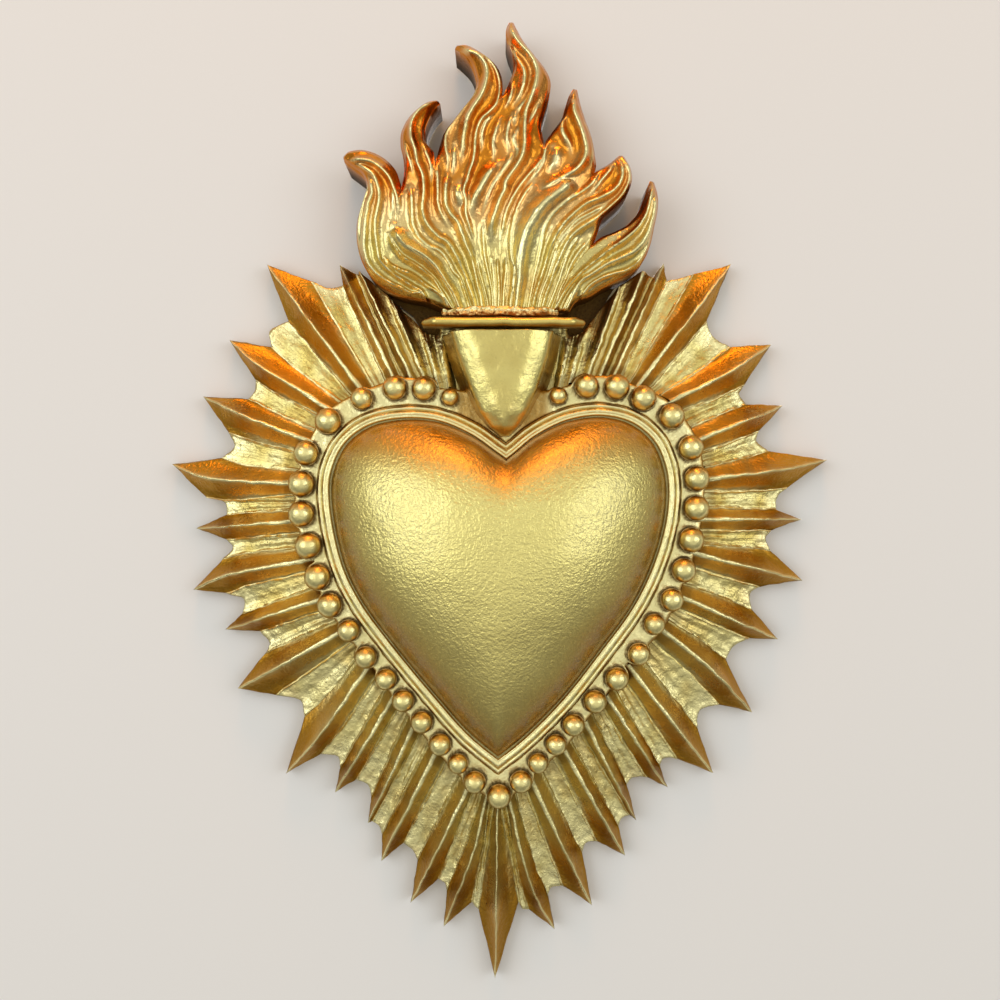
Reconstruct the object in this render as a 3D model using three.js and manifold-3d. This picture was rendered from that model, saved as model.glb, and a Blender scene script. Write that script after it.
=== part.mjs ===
// Gilded wall ex-voto: a flaming heart on a sunburst of carved rays, with a ring hanger in its back.
// Millimetres. Each piece is drawn face on, with x to the right, y up and depth towards the viewer,
// and the whole group is then stood upright. The flat back lies on the wall.

import * as THREE from 'three';
import { mergeVertices } from 'three/addons/utils/BufferGeometryUtils.js';
import Module from 'manifold-3d';

const wasm = await Module();
wasm.setup();

// Overall size, from the tip of one side ray to the other and from the lowest ray to the top of the
// flame. The points of the drawing further down follow it.
const PLAQUE_WIDTH = 139;
const PLAQUE_HEIGHT = 200;

// Gap left between two pieces that are glued or fitted together.
const FIT = 0.3;

// Depths of the ray plate, measured from its flat back.
const FLOOR = 6;
const VALLEY_RISE = 0.5;
const CREST_RISE = 3;
const WEB_EDGE = 3;
const RAY_TIP = 3.5;
const HIGH_RAY_TIP = 5.5;
// How far along the heart, from one ray to the next, the foot of a ray's slope starts.
const FOOT_SHARE = 0.34;
const BAY_STEPS = 4;

// Bed of the beads, above the floor of the plate.
const BAND_THICK = 3.5;
const BEAD_LIFT = 1.5;

// Double roll round the heart, above the bed.
const RIM_WIDTH = 2.8;
const OUTER_ROLL = 1.3;
const ROLL_GROOVE = 0.9;
const INNER_ROLL = 2.4;
const RIM_INNER_EDGE = 0.4;
// Section of the double roll: share of its width from the outside, and height above the bed.
const RIM_SECTION = [
  [0, OUTER_ROLL * 0.45], [0.12, OUTER_ROLL], [0.26, OUTER_ROLL], [0.36, ROLL_GROOVE],
  [0.52, INNER_ROLL * 0.88], [0.68, INNER_ROLL], [0.86, INNER_ROLL * 0.75], [1, RIM_INNER_EDGE],
];
const HEART_STEPS = 32;

// Domed heart.
const DOME_RISE = 15;
const DOME_RINGS = 9;
const DOME_CENTRE = [-0.3, -10];
const DOME_CROWN_RADIUS = 30;
const DOME_FULLNESS = 2.4;
const DOME_SHOULDER = 0.62;

// Cup, collar and lip, which stand in a row above the cleft of the heart.
const CUP_FRONT = 16.5;
const CUP_BULGE = 2.2;
const CUP_TAPER = 2;
const CUP_FLARE = 2.3;
const COLLAR_THICK = 2.6;
const COLLAR_FRONT = 17;
const COLLAR_LEFT = -15.9;
const COLLAR_RIGHT = 17.3;
const LIP_THICK = 1.8;
const LIP_FRONT = 15.5;
const LIP_HALF_WIDTH = 12;

// Flame and the tongue of the plate that it is lapped over.
const FLAME_ROWS = 15;
const RIDGE_RISE = 1.1;
const FLAME_ROOT_FRONT = 12;
const FLAME_TIP_FRONT = 11.5;
const LAP_HALF_WIDTH = 8;
const LAP_LENGTH = 22;
const LAP_THICK = 3;

// Staple and ring, in a recess of the back.
const HANGER_HEIGHT = 20;
const RING_WIRE = 1.4;
const RING_WIDTH = 12;
const RING_DROP = 10;
const RING_CORNER = 1.5;
const STAPLE_WIRE = 1.2;
const STAPLE_INSET = 0.2;
const STAPLE_LEG = 1.6;
const RECESS_MARGIN = 1;
const WIRE_SIDES = 8;

// Depths that follow from the ones above.
const valleyDepth = FLOOR + VALLEY_RISE;
const crestDepth = FLOOR + CREST_RISE;
const seatDepth = FLOOR + FIT;
const bandTop = seatDepth + BAND_THICK - FIT;
const throatSeat = valleyDepth + FIT;

// The drawing of the face starts here, as points across and up from the middle of the back.
// The rays run from beside the cup, down the left, round the bottom and up the right. root is where the
// crest meets the bed of the beads and tip is the point. before and after are where the two slopes
// reach the edge of the plate, and bay is the deepest point of the scallop that follows.
const RAYS = [
  { root: [-11, 24.8], tip: [-13, 34.5] },
  { root: [-13, 25], tip: [-15.5, 35] },
  { root: [-16, 26], tip: [-22.5, 42], high: true },
  { root: [-19, 27], tip: [-29.5, 48.2], high: true },
  { root: [-22.5, 26.5], before: [-30.5, 48], tip: [-34, 50], after: [-33.5, 45.5], bay: [-36, 45] },
  { root: [-29.5, 24], before: [-40, 46.5], tip: [-49.5, 50], after: [-45, 38], bay: [-49, 36] },
  { root: [-36.8, 19.8], before: [-48.5, 32.5], tip: [-57.5, 34], after: [-52, 25.5], bay: [-52.2, 23] },
  { root: [-41.2, 12.8], before: [-53.5, 21.5], tip: [-63, 22], after: [-57.5, 14], bay: [-56.5, 11.5] },
  { root: [-44, 3.5], before: [-59, 9], tip: [-69.5, 7.5], after: [-62.5, 0.5], bay: [-58.5, -0.5] },
  { root: [-44, -4.5], before: [-58, -3], tip: [-64.5, -6], after: [-58, -8.5], bay: [-56.8, -10] },
  { root: [-40.5, -12.5], before: [-59, -12.5], tip: [-65, -19], after: [-58, -20], bay: [-54.5, -21] },
  { root: [-38.5, -21], before: [-54.8, -24.2], tip: [-58.3, -27.5], after: [-51, -28], bay: [-49, -30.5] },
  { root: [-34, -28], before: [-50, -32.5], tip: [-55.7, -40], after: [-47.5, -41.5], bay: [-42.5, -42.5] },
  { root: [-28, -35.5], before: [-41.5, -46], tip: [-45.5, -58], after: [-38, -54], bay: [-34.5, -54.5] },
  { root: [-23, -42.5], before: [-34, -57], tip: [-35, -62], after: [-30.5, -59.5], bay: [-28, -60.5] },
  { root: [-18.5, -48], before: [-27.3, -63], tip: [-28, -68.5], after: [-27, -68.4], bay: [-25.6, -69.3] },
  { root: [-14, -53.5], before: [-25, -71], tip: [-25.2, -76.5], after: [-20.5, -73], bay: [-18.5, -74.3] },
  { root: [-7, -60.5], before: [-17.5, -76.5], tip: [-19, -85.5], after: [-13, -80.5], bay: [-11.7, -81.5] },
  { root: [-3.2, -63], before: [-11.3, -83], tip: [-12, -90.5], after: [-6, -85.5], bay: [-5.5, -86.3] },
  { root: [-0.5, -64], before: [-4.6, -87], tip: [-1, -101.5], after: [3.9, -85.5], bay: [4.7, -87] },
  { root: [2.2, -63.4], before: [6, -87], tip: [11.6, -91], after: [10.3, -84], bay: [11, -82.4] },
  { root: [7, -59], before: [13.3, -81.9], tip: [19.5, -86], after: [17.5, -75], bay: [18.3, -72.9] },
  { root: [14, -53], before: [20.5, -72.5], tip: [26.5, -75.5], after: [25.2, -69.3], bay: [25.8, -67.8] },
  { root: [18.5, -47.5], before: [27.5, -67], tip: [29, -68], after: [27, -60.5], bay: [28, -59] },
  { root: [23, -42], before: [31, -59], tip: [35.5, -61], after: [34, -56.5], bay: [34.8, -55] },
  { root: [27.5, -35.5], before: [37.5, -55], tip: [45.2, -58], after: [42, -48.5], bay: [42.4, -44.7] },
  { root: [35, -28], before: [46.5, -43.5], tip: [53.5, -45], after: [48, -34], bay: [49.7, -31] },
  { root: [38.5, -20.5], before: [53, -29.5], tip: [59, -29.5], after: [53.5, -23], bay: [53.3, -20] },
  { root: [42, -11.5], before: [55, -18.5], tip: [64.2, -17], after: [57.4, -10.5], bay: [56.4, -8.2] },
  { root: [43.5, -4], before: [57.5, -6.5], tip: [64, -4], after: [58.7, -2], bay: [58.9, 0.5] },
  { root: [44, 4.5], before: [61, 2.5], tip: [69.5, 8.5], after: [57, 10.5], bay: [54.5, 12.5] },
  { root: [42.5, 13], before: [55, 14.5], tip: [60, 20], after: [52.2, 20.5], bay: [51, 22.5] },
  { root: [36.8, 21.2], before: [52, 24.5], tip: [57.5, 33], after: [48.8, 32.6], bay: [45.2, 35] },
  { root: [29.5, 25], before: [44, 38], tip: [49, 50], after: [41, 48], bay: [38.2, 47.1] },
  { root: [24, 27], before: [35.5, 46.5], tip: [34.7, 50.2], after: [32.5, 47.5] },
  { root: [21.3, 27.4], tip: [30, 48.2], high: true },
  { root: [18.5, 26.5], tip: [25, 45], high: true },
  { root: [14.5, 25.4], tip: [17, 35] },
  { root: [12.5, 24.8], tip: [14.8, 34.5] },
];

// The flat throat behind the cup, the collar and the lip, from right to left: the end of each line on
// the bed, and how far across it ends at the foot of the flame.
const THROAT = [
  { root: [11, 24.5], across: 20.5 },
  { root: [0, 24.5], across: 1 },
  { root: [-9, 24.5], across: -18.5 },
];

// Outer edge of the roll round the heart, from the cleft to the point down each side.
const HEART_CLEFT = [1.2, 11.7];
const HEART_POINT = [-0.4, -56.6];
const HEART_LEFT = [
  [-4.5, 15.7], [-12.3, 18.9], [-21, 19.4], [-28.6, 17.5], [-34.2, 13], [-37.4, 5.8], [-37.5, -2],
  [-34.8, -14.4], [-31, -22.2], [-24.6, -31], [-16.3, -41.1], [-8.2, -50.2],
];
const HEART_RIGHT = [
  [5.8, 15.4], [13, 18.9], [21, 20], [28.4, 18.2], [34, 13.4], [36.9, 6], [37, -2.5],
  [34.6, -12.6], [30, -22.6], [23, -32.4], [14.6, -43], [6.4, -51.2],
];

// The uneven, hand-laid beads: place across, place up, radius.
const BEADS = [
  [-10.3, 21.1, 1.8], [-15.6, 22.9, 2.5], [-21.6, 23, 2.5], [-28.4, 20.8, 2.3], [-35.3, 16.2, 2.7],
  [-39.8, 9.6, 2.6], [-40.8, 3.3, 2.7], [-40.8, -2.9, 2.7], [-39.4, -9.4, 2.7], [-37.5, -15.8, 2.7],
  [-35, -21.6, 2.6], [-31.1, -26.8, 2.3], [-27.6, -32.3, 2.3], [-23.4, -36.8, 2.2], [-19.9, -41.2, 2.3],
  [-16.1, -45.6, 2.3], [-12.3, -50.2, 2.3], [-8.6, -54.1, 2.1], [-5.2, -57.9, 2.3], [-0.2, -60.8, 2.5],
  [4.3, -57.8, 2.3], [7.8, -54, 2.1], [11.5, -50.2, 2.2], [15.1, -46.2, 2.3], [19.5, -41.4, 2.4],
  [24, -36.7, 2.4], [28.5, -31.6, 2.3], [31.7, -25.5, 2.2], [35.3, -20.5, 2.4], [37.7, -14.4, 2.5],
  [39.3, -8.2, 2.6], [40.3, -1.7, 2.6], [40.4, 4.4, 2.6], [39.2, 10.7, 2.6], [35.3, 17.2, 2.6],
  [29.5, 20.9, 2.6], [24, 23.2, 2.6], [17.8, 23.4, 2.5], [12, 21.4, 1.8],
];
const BEAD_SIDES = 10;
const BEAD_ROWS = 5;

// The cup's face down from its top: height, left edge, right edge, share of the bulge.
const CUP_ROWS = [
  { y: 34.3, left: -9.7, right: 10.5, full: 1 },
  { y: 30, left: -8.5, right: 9.6, full: 1 },
  { y: 26, left: -7.1, right: 8.4, full: 0.95 },
  { y: 22, left: -5.6, right: 7, full: 0.85 },
  { y: 18, left: -4, right: 5.3, full: 0.65 },
  { y: 15, left: -2, right: 3.5, full: 0.4 },
  { y: 13, left: 0.2, right: 1.8, full: 0.1 },
];

// The tongues of the flame, left to right. foot gives the two ends of the root line, and left and right
// run from there to the tip. front is its depth at its fullest, and ridges is how many it is carved in.
const TONGUES = [
  {
    foot: [-9.8, -8], front: 13.2, ridges: 4,
    left: [[-15.3, 40.8], [-20.4, 41.9], [-23.5, 43.3], [-26.1, 45.3], [-28.2, 48.6], [-29.2, 52.5],
      [-29.2, 56.8], [-28.2, 60.3], [-27.2, 63.3], [-27.9, 66], [-29.8, 67.6], [-31.9, 69.2]],
    right: [[-10.2, 42.9], [-12.3, 45.8], [-14.7, 48.6], [-18, 51.1], [-20.2, 53.5], [-20.8, 56.8],
      [-20.4, 60.3], [-20.4, 63.7], [-21.2, 67.2], [-24.1, 70.2], [-27.8, 71.7], [-31, 71.4], [-32.1, 70.4]],
  },
  {
    foot: [-8.6, -3.5], front: 13.8, ridges: 4,
    left: [[-10.6, 42.9], [-12.7, 45.5], [-15.1, 48.4], [-18.4, 50.9], [-20.6, 53.5], [-21.2, 56.8],
      [-20.8, 60.3], [-20.2, 63.7], [-19.6, 67], [-19.8, 69.9], [-20.4, 72.7], [-20.2, 75.6],
      [-18.6, 78.6], [-16.2, 80.9], [-14.4, 81.9], [-13, 82.2]],
    right: [[-4.3, 44.9], [-5.3, 48.6], [-6.7, 52.1], [-8.8, 55.1], [-10.8, 58], [-12.1, 61.3],
      [-12.7, 65.4], [-13.3, 68.6], [-13.7, 71.5], [-15.1, 73.3], [-15.4, 75.6], [-14.7, 78],
      [-13.5, 80.1], [-12.3, 81.5]],
  },
  {
    foot: [-4.1, -1.8], front: 13, ridges: 3,
    left: [[-4.7, 44.5], [-5.9, 48.2], [-7.4, 51.9], [-9.4, 54.9], [-11.2, 57.8], [-12.7, 61.3],
      [-13.1, 65.4], [-13.1, 69], [-12.3, 72.7], [-11.4, 75.2], [-10, 77], [-8, 79.7], [-5.9, 82.3],
      [-4.9, 84.8], [-5.1, 87], [-6.1, 89.7], [-7.9, 91.7], [-9.3, 92.9]],
    right: [[-2.7, 44.9], [-4.5, 50], [-6.5, 56], [-7.2, 60.7], [-6.5, 64.1], [-4.9, 68], [-4.1, 72.1],
      [-3.1, 76.2], [-0.8, 79.5], [0.4, 82.9], [0.4, 86.3], [-0.6, 88.9], [-2.5, 90.9], [-4.9, 92.7],
      [-7, 93.7], [-8.9, 93.7]],
  },
  {
    foot: [-2.5, 2.7], front: 13.6, ridges: 6,
    left: [[-3.3, 44.9], [-5.1, 50], [-7.1, 56], [-8, 60.7], [-7.1, 64.1], [-5.5, 68], [-4.7, 72.1],
      [-3.7, 76.2], [-1.4, 79.7], [0.6, 82.9], [2, 86.2], [2.8, 88.6], [2.5, 91.5], [1.6, 94],
      [1.2, 96.5], [1.9, 98.5]],
    right: [[2.5, 47], [2.5, 53.1], [3.1, 58.8], [5.1, 63.3], [7.6, 67], [9.2, 70.7], [8.8, 74.3],
      [8.4, 76.8], [9, 79.2], [10, 82.7], [10.4, 85.8], [9.4, 88.4], [7.1, 91.3], [4.9, 94.2],
      [3.5, 96.7], [2.7, 98.5]],
  },
  {
    foot: [2, 5.9], front: 14.2, ridges: 4,
    left: [[1.8, 47], [1.8, 53.1], [2.5, 58.8], [4.5, 63.3], [6.7, 67], [8.6, 70.7], [9.4, 73.5],
      [10.8, 75.6], [12.5, 77.8], [13.3, 80.3], [14.1, 82.8], [15.1, 84.7]],
    right: [[6.7, 45.8], [7.8, 50.9], [8.8, 54.9], [11.2, 58.6], [14.7, 61.7], [18, 64.7],
      [19.6, 67.8], [19.4, 70.5], [18.8, 73.7], [17.8, 77], [16.6, 80.8], [15.8, 84.5]],
  },
  {
    foot: [5.3, 11], front: 13.4, ridges: 4,
    left: [[6.1, 46], [7.1, 51.1], [8.2, 55.1], [10.6, 58.8], [14.3, 61.9], [17.8, 65.2], [20, 67.4],
      [21.9, 68.5], [23.4, 69.6], [24.5, 70.6]],
    right: [[12.5, 43.1], [14.3, 46], [16.5, 48.8], [18.6, 51.7], [20, 54.7], [20.8, 57.2], [22.7, 59],
      [24.5, 60.7], [26.1, 62.7], [26.9, 65.4], [26.5, 68], [25.5, 70.2]],
  },
  {
    foot: [10.4, 14.1], front: 12.8, ridges: 4,
    left: [[11.8, 42.9], [13.7, 45.8], [15.9, 48.8], [18.4, 51.7], [20.6, 53.7], [23.5, 54.9],
      [25.9, 56.2], [28, 58.4], [29.2, 60.9], [30.1, 63.5], [30.7, 65.3]],
    right: [[15.7, 40.8], [18.4, 41.9], [21.4, 43.7], [24.5, 45.3], [27.6, 47], [29.4, 49], [30.8, 52.5],
      [31.5, 56], [32.1, 59.2], [32.2, 62], [31.5, 65]],
  },
];

const extent = (values) => Math.max(...values) - Math.min(...values);
const flameHeights = TONGUES.flatMap(({ left, right }) => [...left, ...right].map((point) => point[1]));
const stretchX = PLAQUE_WIDTH / extent(RAYS.map(({ tip }) => tip[0]));
const stretchY = PLAQUE_HEIGHT / extent([...flameHeights, ...RAYS.map(({ tip }) => tip[1])]);
const evenStretch = Math.min(stretchX, stretchY);

// A point of the drawing, at the size of the plaque.
function laid([x, y]) {
  return [x * stretchX, y * stretchY];
}

// Heights that follow from the top of the cup, each piece standing on the one below.
const cupTop = CUP_ROWS[0].y * stretchY;
const collarLow = cupTop + FIT;
const collarHigh = collarLow + COLLAR_THICK;
const lipLow = collarHigh + FIT;
const lipHigh = lipLow + LIP_THICK;
const flameFoot = lipHigh + FIT;
const throatTop = flameFoot - FIT;

const gold = new THREE.MeshStandardMaterial({ color: '#c9a24a', roughness: 0.34, metalness: 0.85 });
const paleGold = new THREE.MeshStandardMaterial({ color: '#d6c274', roughness: 0.38, metalness: 0.8 });
const copperGold = new THREE.MeshStandardMaterial({ color: '#b5813a', roughness: 0.4, metalness: 0.8 });
const steel = new THREE.MeshStandardMaterial({ color: '#9a9c9e', roughness: 0.35, metalness: 1 });

// Makes a closed geometry from shared points and faces, and turns it inside out if it faces inwards.
function closedGeometry(points, faces) {
  let volume = 0;
  for (const [a, b, c] of faces) {
    const cross = new THREE.Vector3().crossVectors(points[b], points[c]);
    volume += points[a].dot(cross);
  }
  const outward = volume > 0 ? faces : faces.map(([a, b, c]) => [a, c, b]);
  const geometry = new THREE.BufferGeometry().setFromPoints(points);
  geometry.setIndex(outward.flat());
  return geometry;
}

function quad(a, b, c, d) {
  return [[a, b, c], [a, c, d]];
}

// Skins a run of sections that all have the same number of points. A closed run joins its last section
// to its first, and an open one has flat ends.
function skin(sections, closedRun) {
  const size = sections[0].length;
  const faces = [];
  const runs = closedRun ? sections.length : sections.length - 1;
  for (let row = 0; row < runs; row += 1) {
    const here = row * size;
    const next = ((row + 1) % sections.length) * size;
    for (let i = 0; i < size; i += 1) {
      const j = (i + 1) % size;
      faces.push(...quad(here + i, here + j, next + j, next + i));
    }
  }
  if (!closedRun) {
    const last = (sections.length - 1) * size;
    for (let i = 1; i < size - 1; i += 1) {
      faces.push([0, i + 1, i]);
      faces.push([last, last + i, last + i + 1]);
    }
  }
  return closedGeometry(sections.flat(), faces);
}

function toSolid(geometry) {
  const bare = geometry.clone();
  bare.deleteAttribute('normal');
  bare.deleteAttribute('uv');
  const merged = mergeVertices(bare, 1e-4);
  const mesh = new wasm.Mesh({
    numProp: 3,
    vertProperties: new Float32Array(merged.attributes.position.array),
    triVerts: new Uint32Array(merged.index.array),
  });
  return new wasm.Manifold(mesh);
}

function toGeometry(solid) {
  const mesh = solid.getMesh();
  const geometry = new THREE.BufferGeometry();
  geometry.setAttribute('position', new THREE.BufferAttribute(new Float32Array(mesh.vertProperties), 3));
  geometry.setIndex(new THREE.BufferAttribute(new Uint32Array(mesh.triVerts), 1));
  return geometry;
}

// A straight-sided solid over a flat outline, from one depth to another.
function prism(outline, from, to) {
  const shape = new THREE.Shape(outline.map(([x, y]) => new THREE.Vector2(x, y)));
  const geometry = new THREE.ExtrudeGeometry(shape, { depth: to - from, bevelEnabled: false });
  geometry.translate(0, 0, from);
  return toSolid(geometry);
}

function rectangle(left, right, low, high) {
  return [[left, low], [right, low], [right, high], [left, high]];
}

// Moves each side of a closed outline outwards by the same distance, or inwards where it is negative.
function offsetLoop(outline, distance) {
  return outline.map(([x, y], i) => {
    const [px, py] = outline[(i + outline.length - 1) % outline.length];
    const [nx, ny] = outline[(i + 1) % outline.length];
    const inSide = new THREE.Vector2(y - py, px - x).normalize();
    const outSide = new THREE.Vector2(ny - y, x - nx).normalize();
    const mitre = inSide.clone().add(outSide).normalize();
    const reach = distance / Math.max(mitre.dot(inSide), 0.6);
    return [x + mitre.x * reach, y + mitre.y * reach];
  });
}

function curveThrough(points, closed = false) {
  return new THREE.CatmullRomCurve3(points.map(([x, y]) => new THREE.Vector3(x, y, 0)), closed);
}

// Outer edge of the roll round the heart, anticlockwise from the cleft.
function heartLoop() {
  const side = (points) => curveThrough([HEART_CLEFT, ...points, HEART_POINT].map(laid))
    .getSpacedPoints(HEART_STEPS);
  const rising = side(HEART_RIGHT).slice(1, HEART_STEPS).reverse();
  return [...side(HEART_LEFT), ...rising].map((p) => [p.x, p.y]);
}

function laidRay({ high, ...points }) {
  const moved = Object.entries(points).map(([key, point]) => [key, laid(point)]);
  return { tipDepth: high ? HIGH_RAY_TIP : RAY_TIP, ...Object.fromEntries(moved) };
}

// The lines that the ray plate is carved along. Each runs from the bed to the edge of the plate.
function rayLines() {
  const rays = RAYS.map(laidRay);
  const throat = THROAT.map(({ root, across }) => {
    const end = [across * stretchX, throatTop];
    return { root: laid(root), end, rootDepth: valleyDepth, endDepth: valleyDepth };
  });
  const roots = [...rays, ...throat].map(({ root }) => root);
  const bed = curveThrough(roots, true);
  const bedAt = (place) => {
    const p = bed.getPoint(((place + roots.length) % roots.length) / roots.length);
    return [p.x, p.y];
  };
  const lines = [];
  const valley = (place, end) => {
    lines.push({ root: bedAt(place), end, rootDepth: valleyDepth, endDepth: WEB_EDGE });
  };
  rays.forEach((ray, i) => {
    const next = rays[i + 1];
    if (ray.before) {
      valley(i - FOOT_SHARE, ray.before);
    }
    lines.push({ root: ray.root, end: ray.tip, rootDepth: crestDepth, endDepth: ray.tipDepth });
    if (ray.after) {
      valley(i + FOOT_SHARE, ray.after);
    }
    if (ray.bay) {
      const scallop = curveThrough([ray.after, ray.bay, next.before]);
      for (let step = 1; step < BAY_STEPS; step += 1) {
        const share = step / BAY_STEPS;
        const p = scallop.getPoint(share);
        valley(i + FOOT_SHARE + share * (1 - 2 * FOOT_SHARE), [p.x, p.y]);
      }
    }
    if (next && !ray.after && !next.before) {
      const middle = [(ray.tip[0] + next.tip[0]) / 2, (ray.tip[1] + next.tip[1]) / 2];
      valley(i + 0.5, middle);
    }
  });
  return [...lines, ...throat];
}

// The carved plate: strips between the ray lines, an edge down to the back and a sunk floor.
function raySolid(lines) {
  const points = [];
  const faces = [];
  const layers = lines.map(({ root, end, rootDepth, endDepth }) => {
    const base = points.length;
    points.push(new THREE.Vector3(root[0], root[1], FLOOR));
    points.push(new THREE.Vector3(root[0], root[1], rootDepth));
    points.push(new THREE.Vector3(end[0], end[1], endDepth));
    points.push(new THREE.Vector3(end[0], end[1], 0));
    return base;
  });
  layers.forEach((here, i) => {
    const next = layers[(i + 1) % layers.length];
    for (let level = 0; level < 3; level += 1) {
      faces.push(...quad(here + level, here + level + 1, next + level + 1, next + level));
    }
  });
  const flat = (key) => lines.map((line) => new THREE.Vector2(line[key][0], line[key][1]));
  for (const [a, b, c] of THREE.ShapeUtils.triangulateShape(flat('root'), [])) {
    faces.push([layers[a], layers[b], layers[c]]);
  }
  for (const [a, b, c] of THREE.ShapeUtils.triangulateShape(flat('end'), [])) {
    faces.push([layers[a] + 3, layers[c] + 3, layers[b] + 3]);
  }
  return toSolid(closedGeometry(points, faces));
}

// The ring's bar lies under the staple's, and the recess is just deep enough for both.
const ringDepth = STAPLE_INSET + STAPLE_WIRE + FIT + RING_WIRE / 2;
const recessDepth = ringDepth + RING_WIRE / 2 + FIT;
const legReach = RING_WIRE / 2 + FIT + STAPLE_WIRE / 2;

function hangerRecess() {
  const reach = RING_DROP + RING_WIRE / 2 + RECESS_MARGIN;
  const half = (RING_WIDTH + RING_WIRE) / 2 + RECESS_MARGIN;
  const pocket = rectangle(-half, half, HANGER_HEIGHT - reach, HANGER_HEIGHT + reach);
  return prism(pocket, -1, recessDepth);
}

function legBore(side) {
  const radius = STAPLE_WIRE / 2 + FIT;
  const length = STAPLE_LEG + FIT;
  const bore = new THREE.CylinderGeometry(radius, radius, length * 2, 12);
  bore.rotateX(Math.PI / 2);
  bore.translate(0, HANGER_HEIGHT + side * legReach, recessDepth);
  return toSolid(bore);
}

function sunburstPlate(lines, flame) {
  const tongue = rectangle(-LAP_HALF_WIDTH, LAP_HALF_WIDTH, lipLow, flameFoot + LAP_LENGTH);
  const lap = prism(tongue, 0, LAP_THICK);
  let plate = raySolid(lines).subtract(flame);
  plate = plate.add(lap).subtract(hangerRecess());
  return toGeometry(plate.subtract(legBore(-1)).subtract(legBore(1)));
}

// The flat bed of the beads, between the roots of the rays and the roll, notched for the cup.
function beadBand(lines, heart) {
  const outer = offsetLoop(lines.map(({ root }) => root), -FIT);
  const ring = prism(outer, seatDepth, bandTop).subtract(prism(offsetLoop(heart, FIT), FLOOR, bandTop + 1));
  const room = CUP_FLARE + FIT;
  const leftSide = CUP_ROWS.map(({ y, left }) => [left * stretchX - room, y * stretchY]);
  const rightSide = CUP_ROWS.map(({ y, right }) => [right * stretchX + room, y * stretchY]);
  const [cleftX, cleftY] = laid(HEART_CLEFT);
  const notch = prism([...leftSide, [cleftX, cleftY - room], ...rightSide.reverse()], FLOOR, bandTop + 1);
  return toGeometry(ring.subtract(notch));
}

// The two rolls round the heart, as one closed run of sections across their width.
function heartRim(heart) {
  const inner = offsetLoop(heart, -RIM_WIDTH);
  const rolls = RIM_SECTION.map(([share, rise]) => [share, bandTop + rise]);
  const profile = [[0, seatDepth], ...rolls, [1, seatDepth]];
  const sections = heart.map(([x, y], i) => profile.map(([share, depth]) => new THREE.Vector3(
    THREE.MathUtils.lerp(x, inner[i][0], share),
    THREE.MathUtils.lerp(y, inner[i][1], share),
    depth,
  )));
  return skin(sections, true);
}

// The heart: rings that start on its own outline and draw in to a round crown as they rise.
function heartDome(heart) {
  const edge = offsetLoop(heart, -(RIM_WIDTH + FIT));
  const [cx, cy] = laid(DOME_CENTRE);
  const edgeDepth = bandTop + RIM_INNER_EDGE - FIT;
  const points = edge.map(([x, y]) => new THREE.Vector3(x, y, seatDepth));
  for (let ring = 0; ring < DOME_RINGS; ring += 1) {
    const angle = (ring / DOME_RINGS) * (Math.PI / 2);
    const share = Math.cos(angle);
    const rise = DOME_RISE * (1 - share ** DOME_FULLNESS) ** DOME_SHOULDER;
    for (const [x, y] of edge) {
      const crown = (DOME_CROWN_RADIUS * evenStretch) / Math.hypot(x - cx, y - cy);
      const draw = share * THREE.MathUtils.lerp(crown, 1, share);
      points.push(new THREE.Vector3(cx + (x - cx) * draw, cy + (y - cy) * draw, edgeDepth + rise));
    }
  }
  points.push(new THREE.Vector3(cx, cy, edgeDepth + DOME_RISE));
  const size = edge.length;
  const faces = [];
  for (let ring = 0; ring < DOME_RINGS; ring += 1) {
    for (let i = 0; i < size; i += 1) {
      const j = (i + 1) % size;
      faces.push(...quad(ring * size + i, ring * size + j, (ring + 1) * size + j, (ring + 1) * size + i));
    }
  }
  for (let i = 0; i < size; i += 1) {
    faces.push([DOME_RINGS * size + i, DOME_RINGS * size + ((i + 1) % size), points.length - 1]);
  }
  const base = edge.map(([x, y]) => new THREE.Vector2(x, y));
  for (const [a, b, c] of THREE.ShapeUtils.triangulateShape(base, [])) {
    faces.push([a, c, b]);
  }
  return closedGeometry(points, faces);
}

// A ball cut flat a little below its middle, where it is glued to the bed.
function bead([across, up, drawnRadius]) {
  const [x, y] = laid([across, up]);
  const radius = drawnRadius * evenStretch;
  const cut = -Math.asin((BEAD_LIFT - FIT) / radius);
  const profile = [new THREE.Vector2(0, radius * Math.sin(cut))];
  for (let row = 0; row <= BEAD_ROWS; row += 1) {
    const angle = THREE.MathUtils.lerp(cut, Math.PI / 2, row / BEAD_ROWS);
    const reach = row === BEAD_ROWS ? 0 : radius * Math.cos(angle);
    profile.push(new THREE.Vector2(reach, radius * Math.sin(angle)));
  }
  const geometry = new THREE.LatheGeometry(profile, BEAD_SIDES);
  geometry.rotateX(Math.PI / 2);
  geometry.translate(x, y, bandTop + BEAD_LIFT);
  return geometry;
}

// The cup: a shield with a bulging face and flanks that flare towards the plate.
function flameCup() {
  const sections = CUP_ROWS.map((row) => {
    const { full } = row;
    const [left, y] = laid([row.left, row.y]);
    const right = row.right * stretchX;
    const middle = (left + right) / 2;
    const edge = CUP_FRONT - CUP_BULGE - CUP_TAPER * (1 - full);
    const crown = edge + CUP_BULGE * full;
    return [
      new THREE.Vector3(left - CUP_FLARE * full, y, throatSeat),
      new THREE.Vector3(left, y, edge),
      new THREE.Vector3((left + middle) / 2, y, (edge + crown * 3) / 4),
      new THREE.Vector3(middle, y, crown),
      new THREE.Vector3((right + middle) / 2, y, (edge + crown * 3) / 4),
      new THREE.Vector3(right, y, edge),
      new THREE.Vector3(right + CUP_FLARE * full, y, throatSeat),
    ];
  });
  return skin(sections, false);
}

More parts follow.
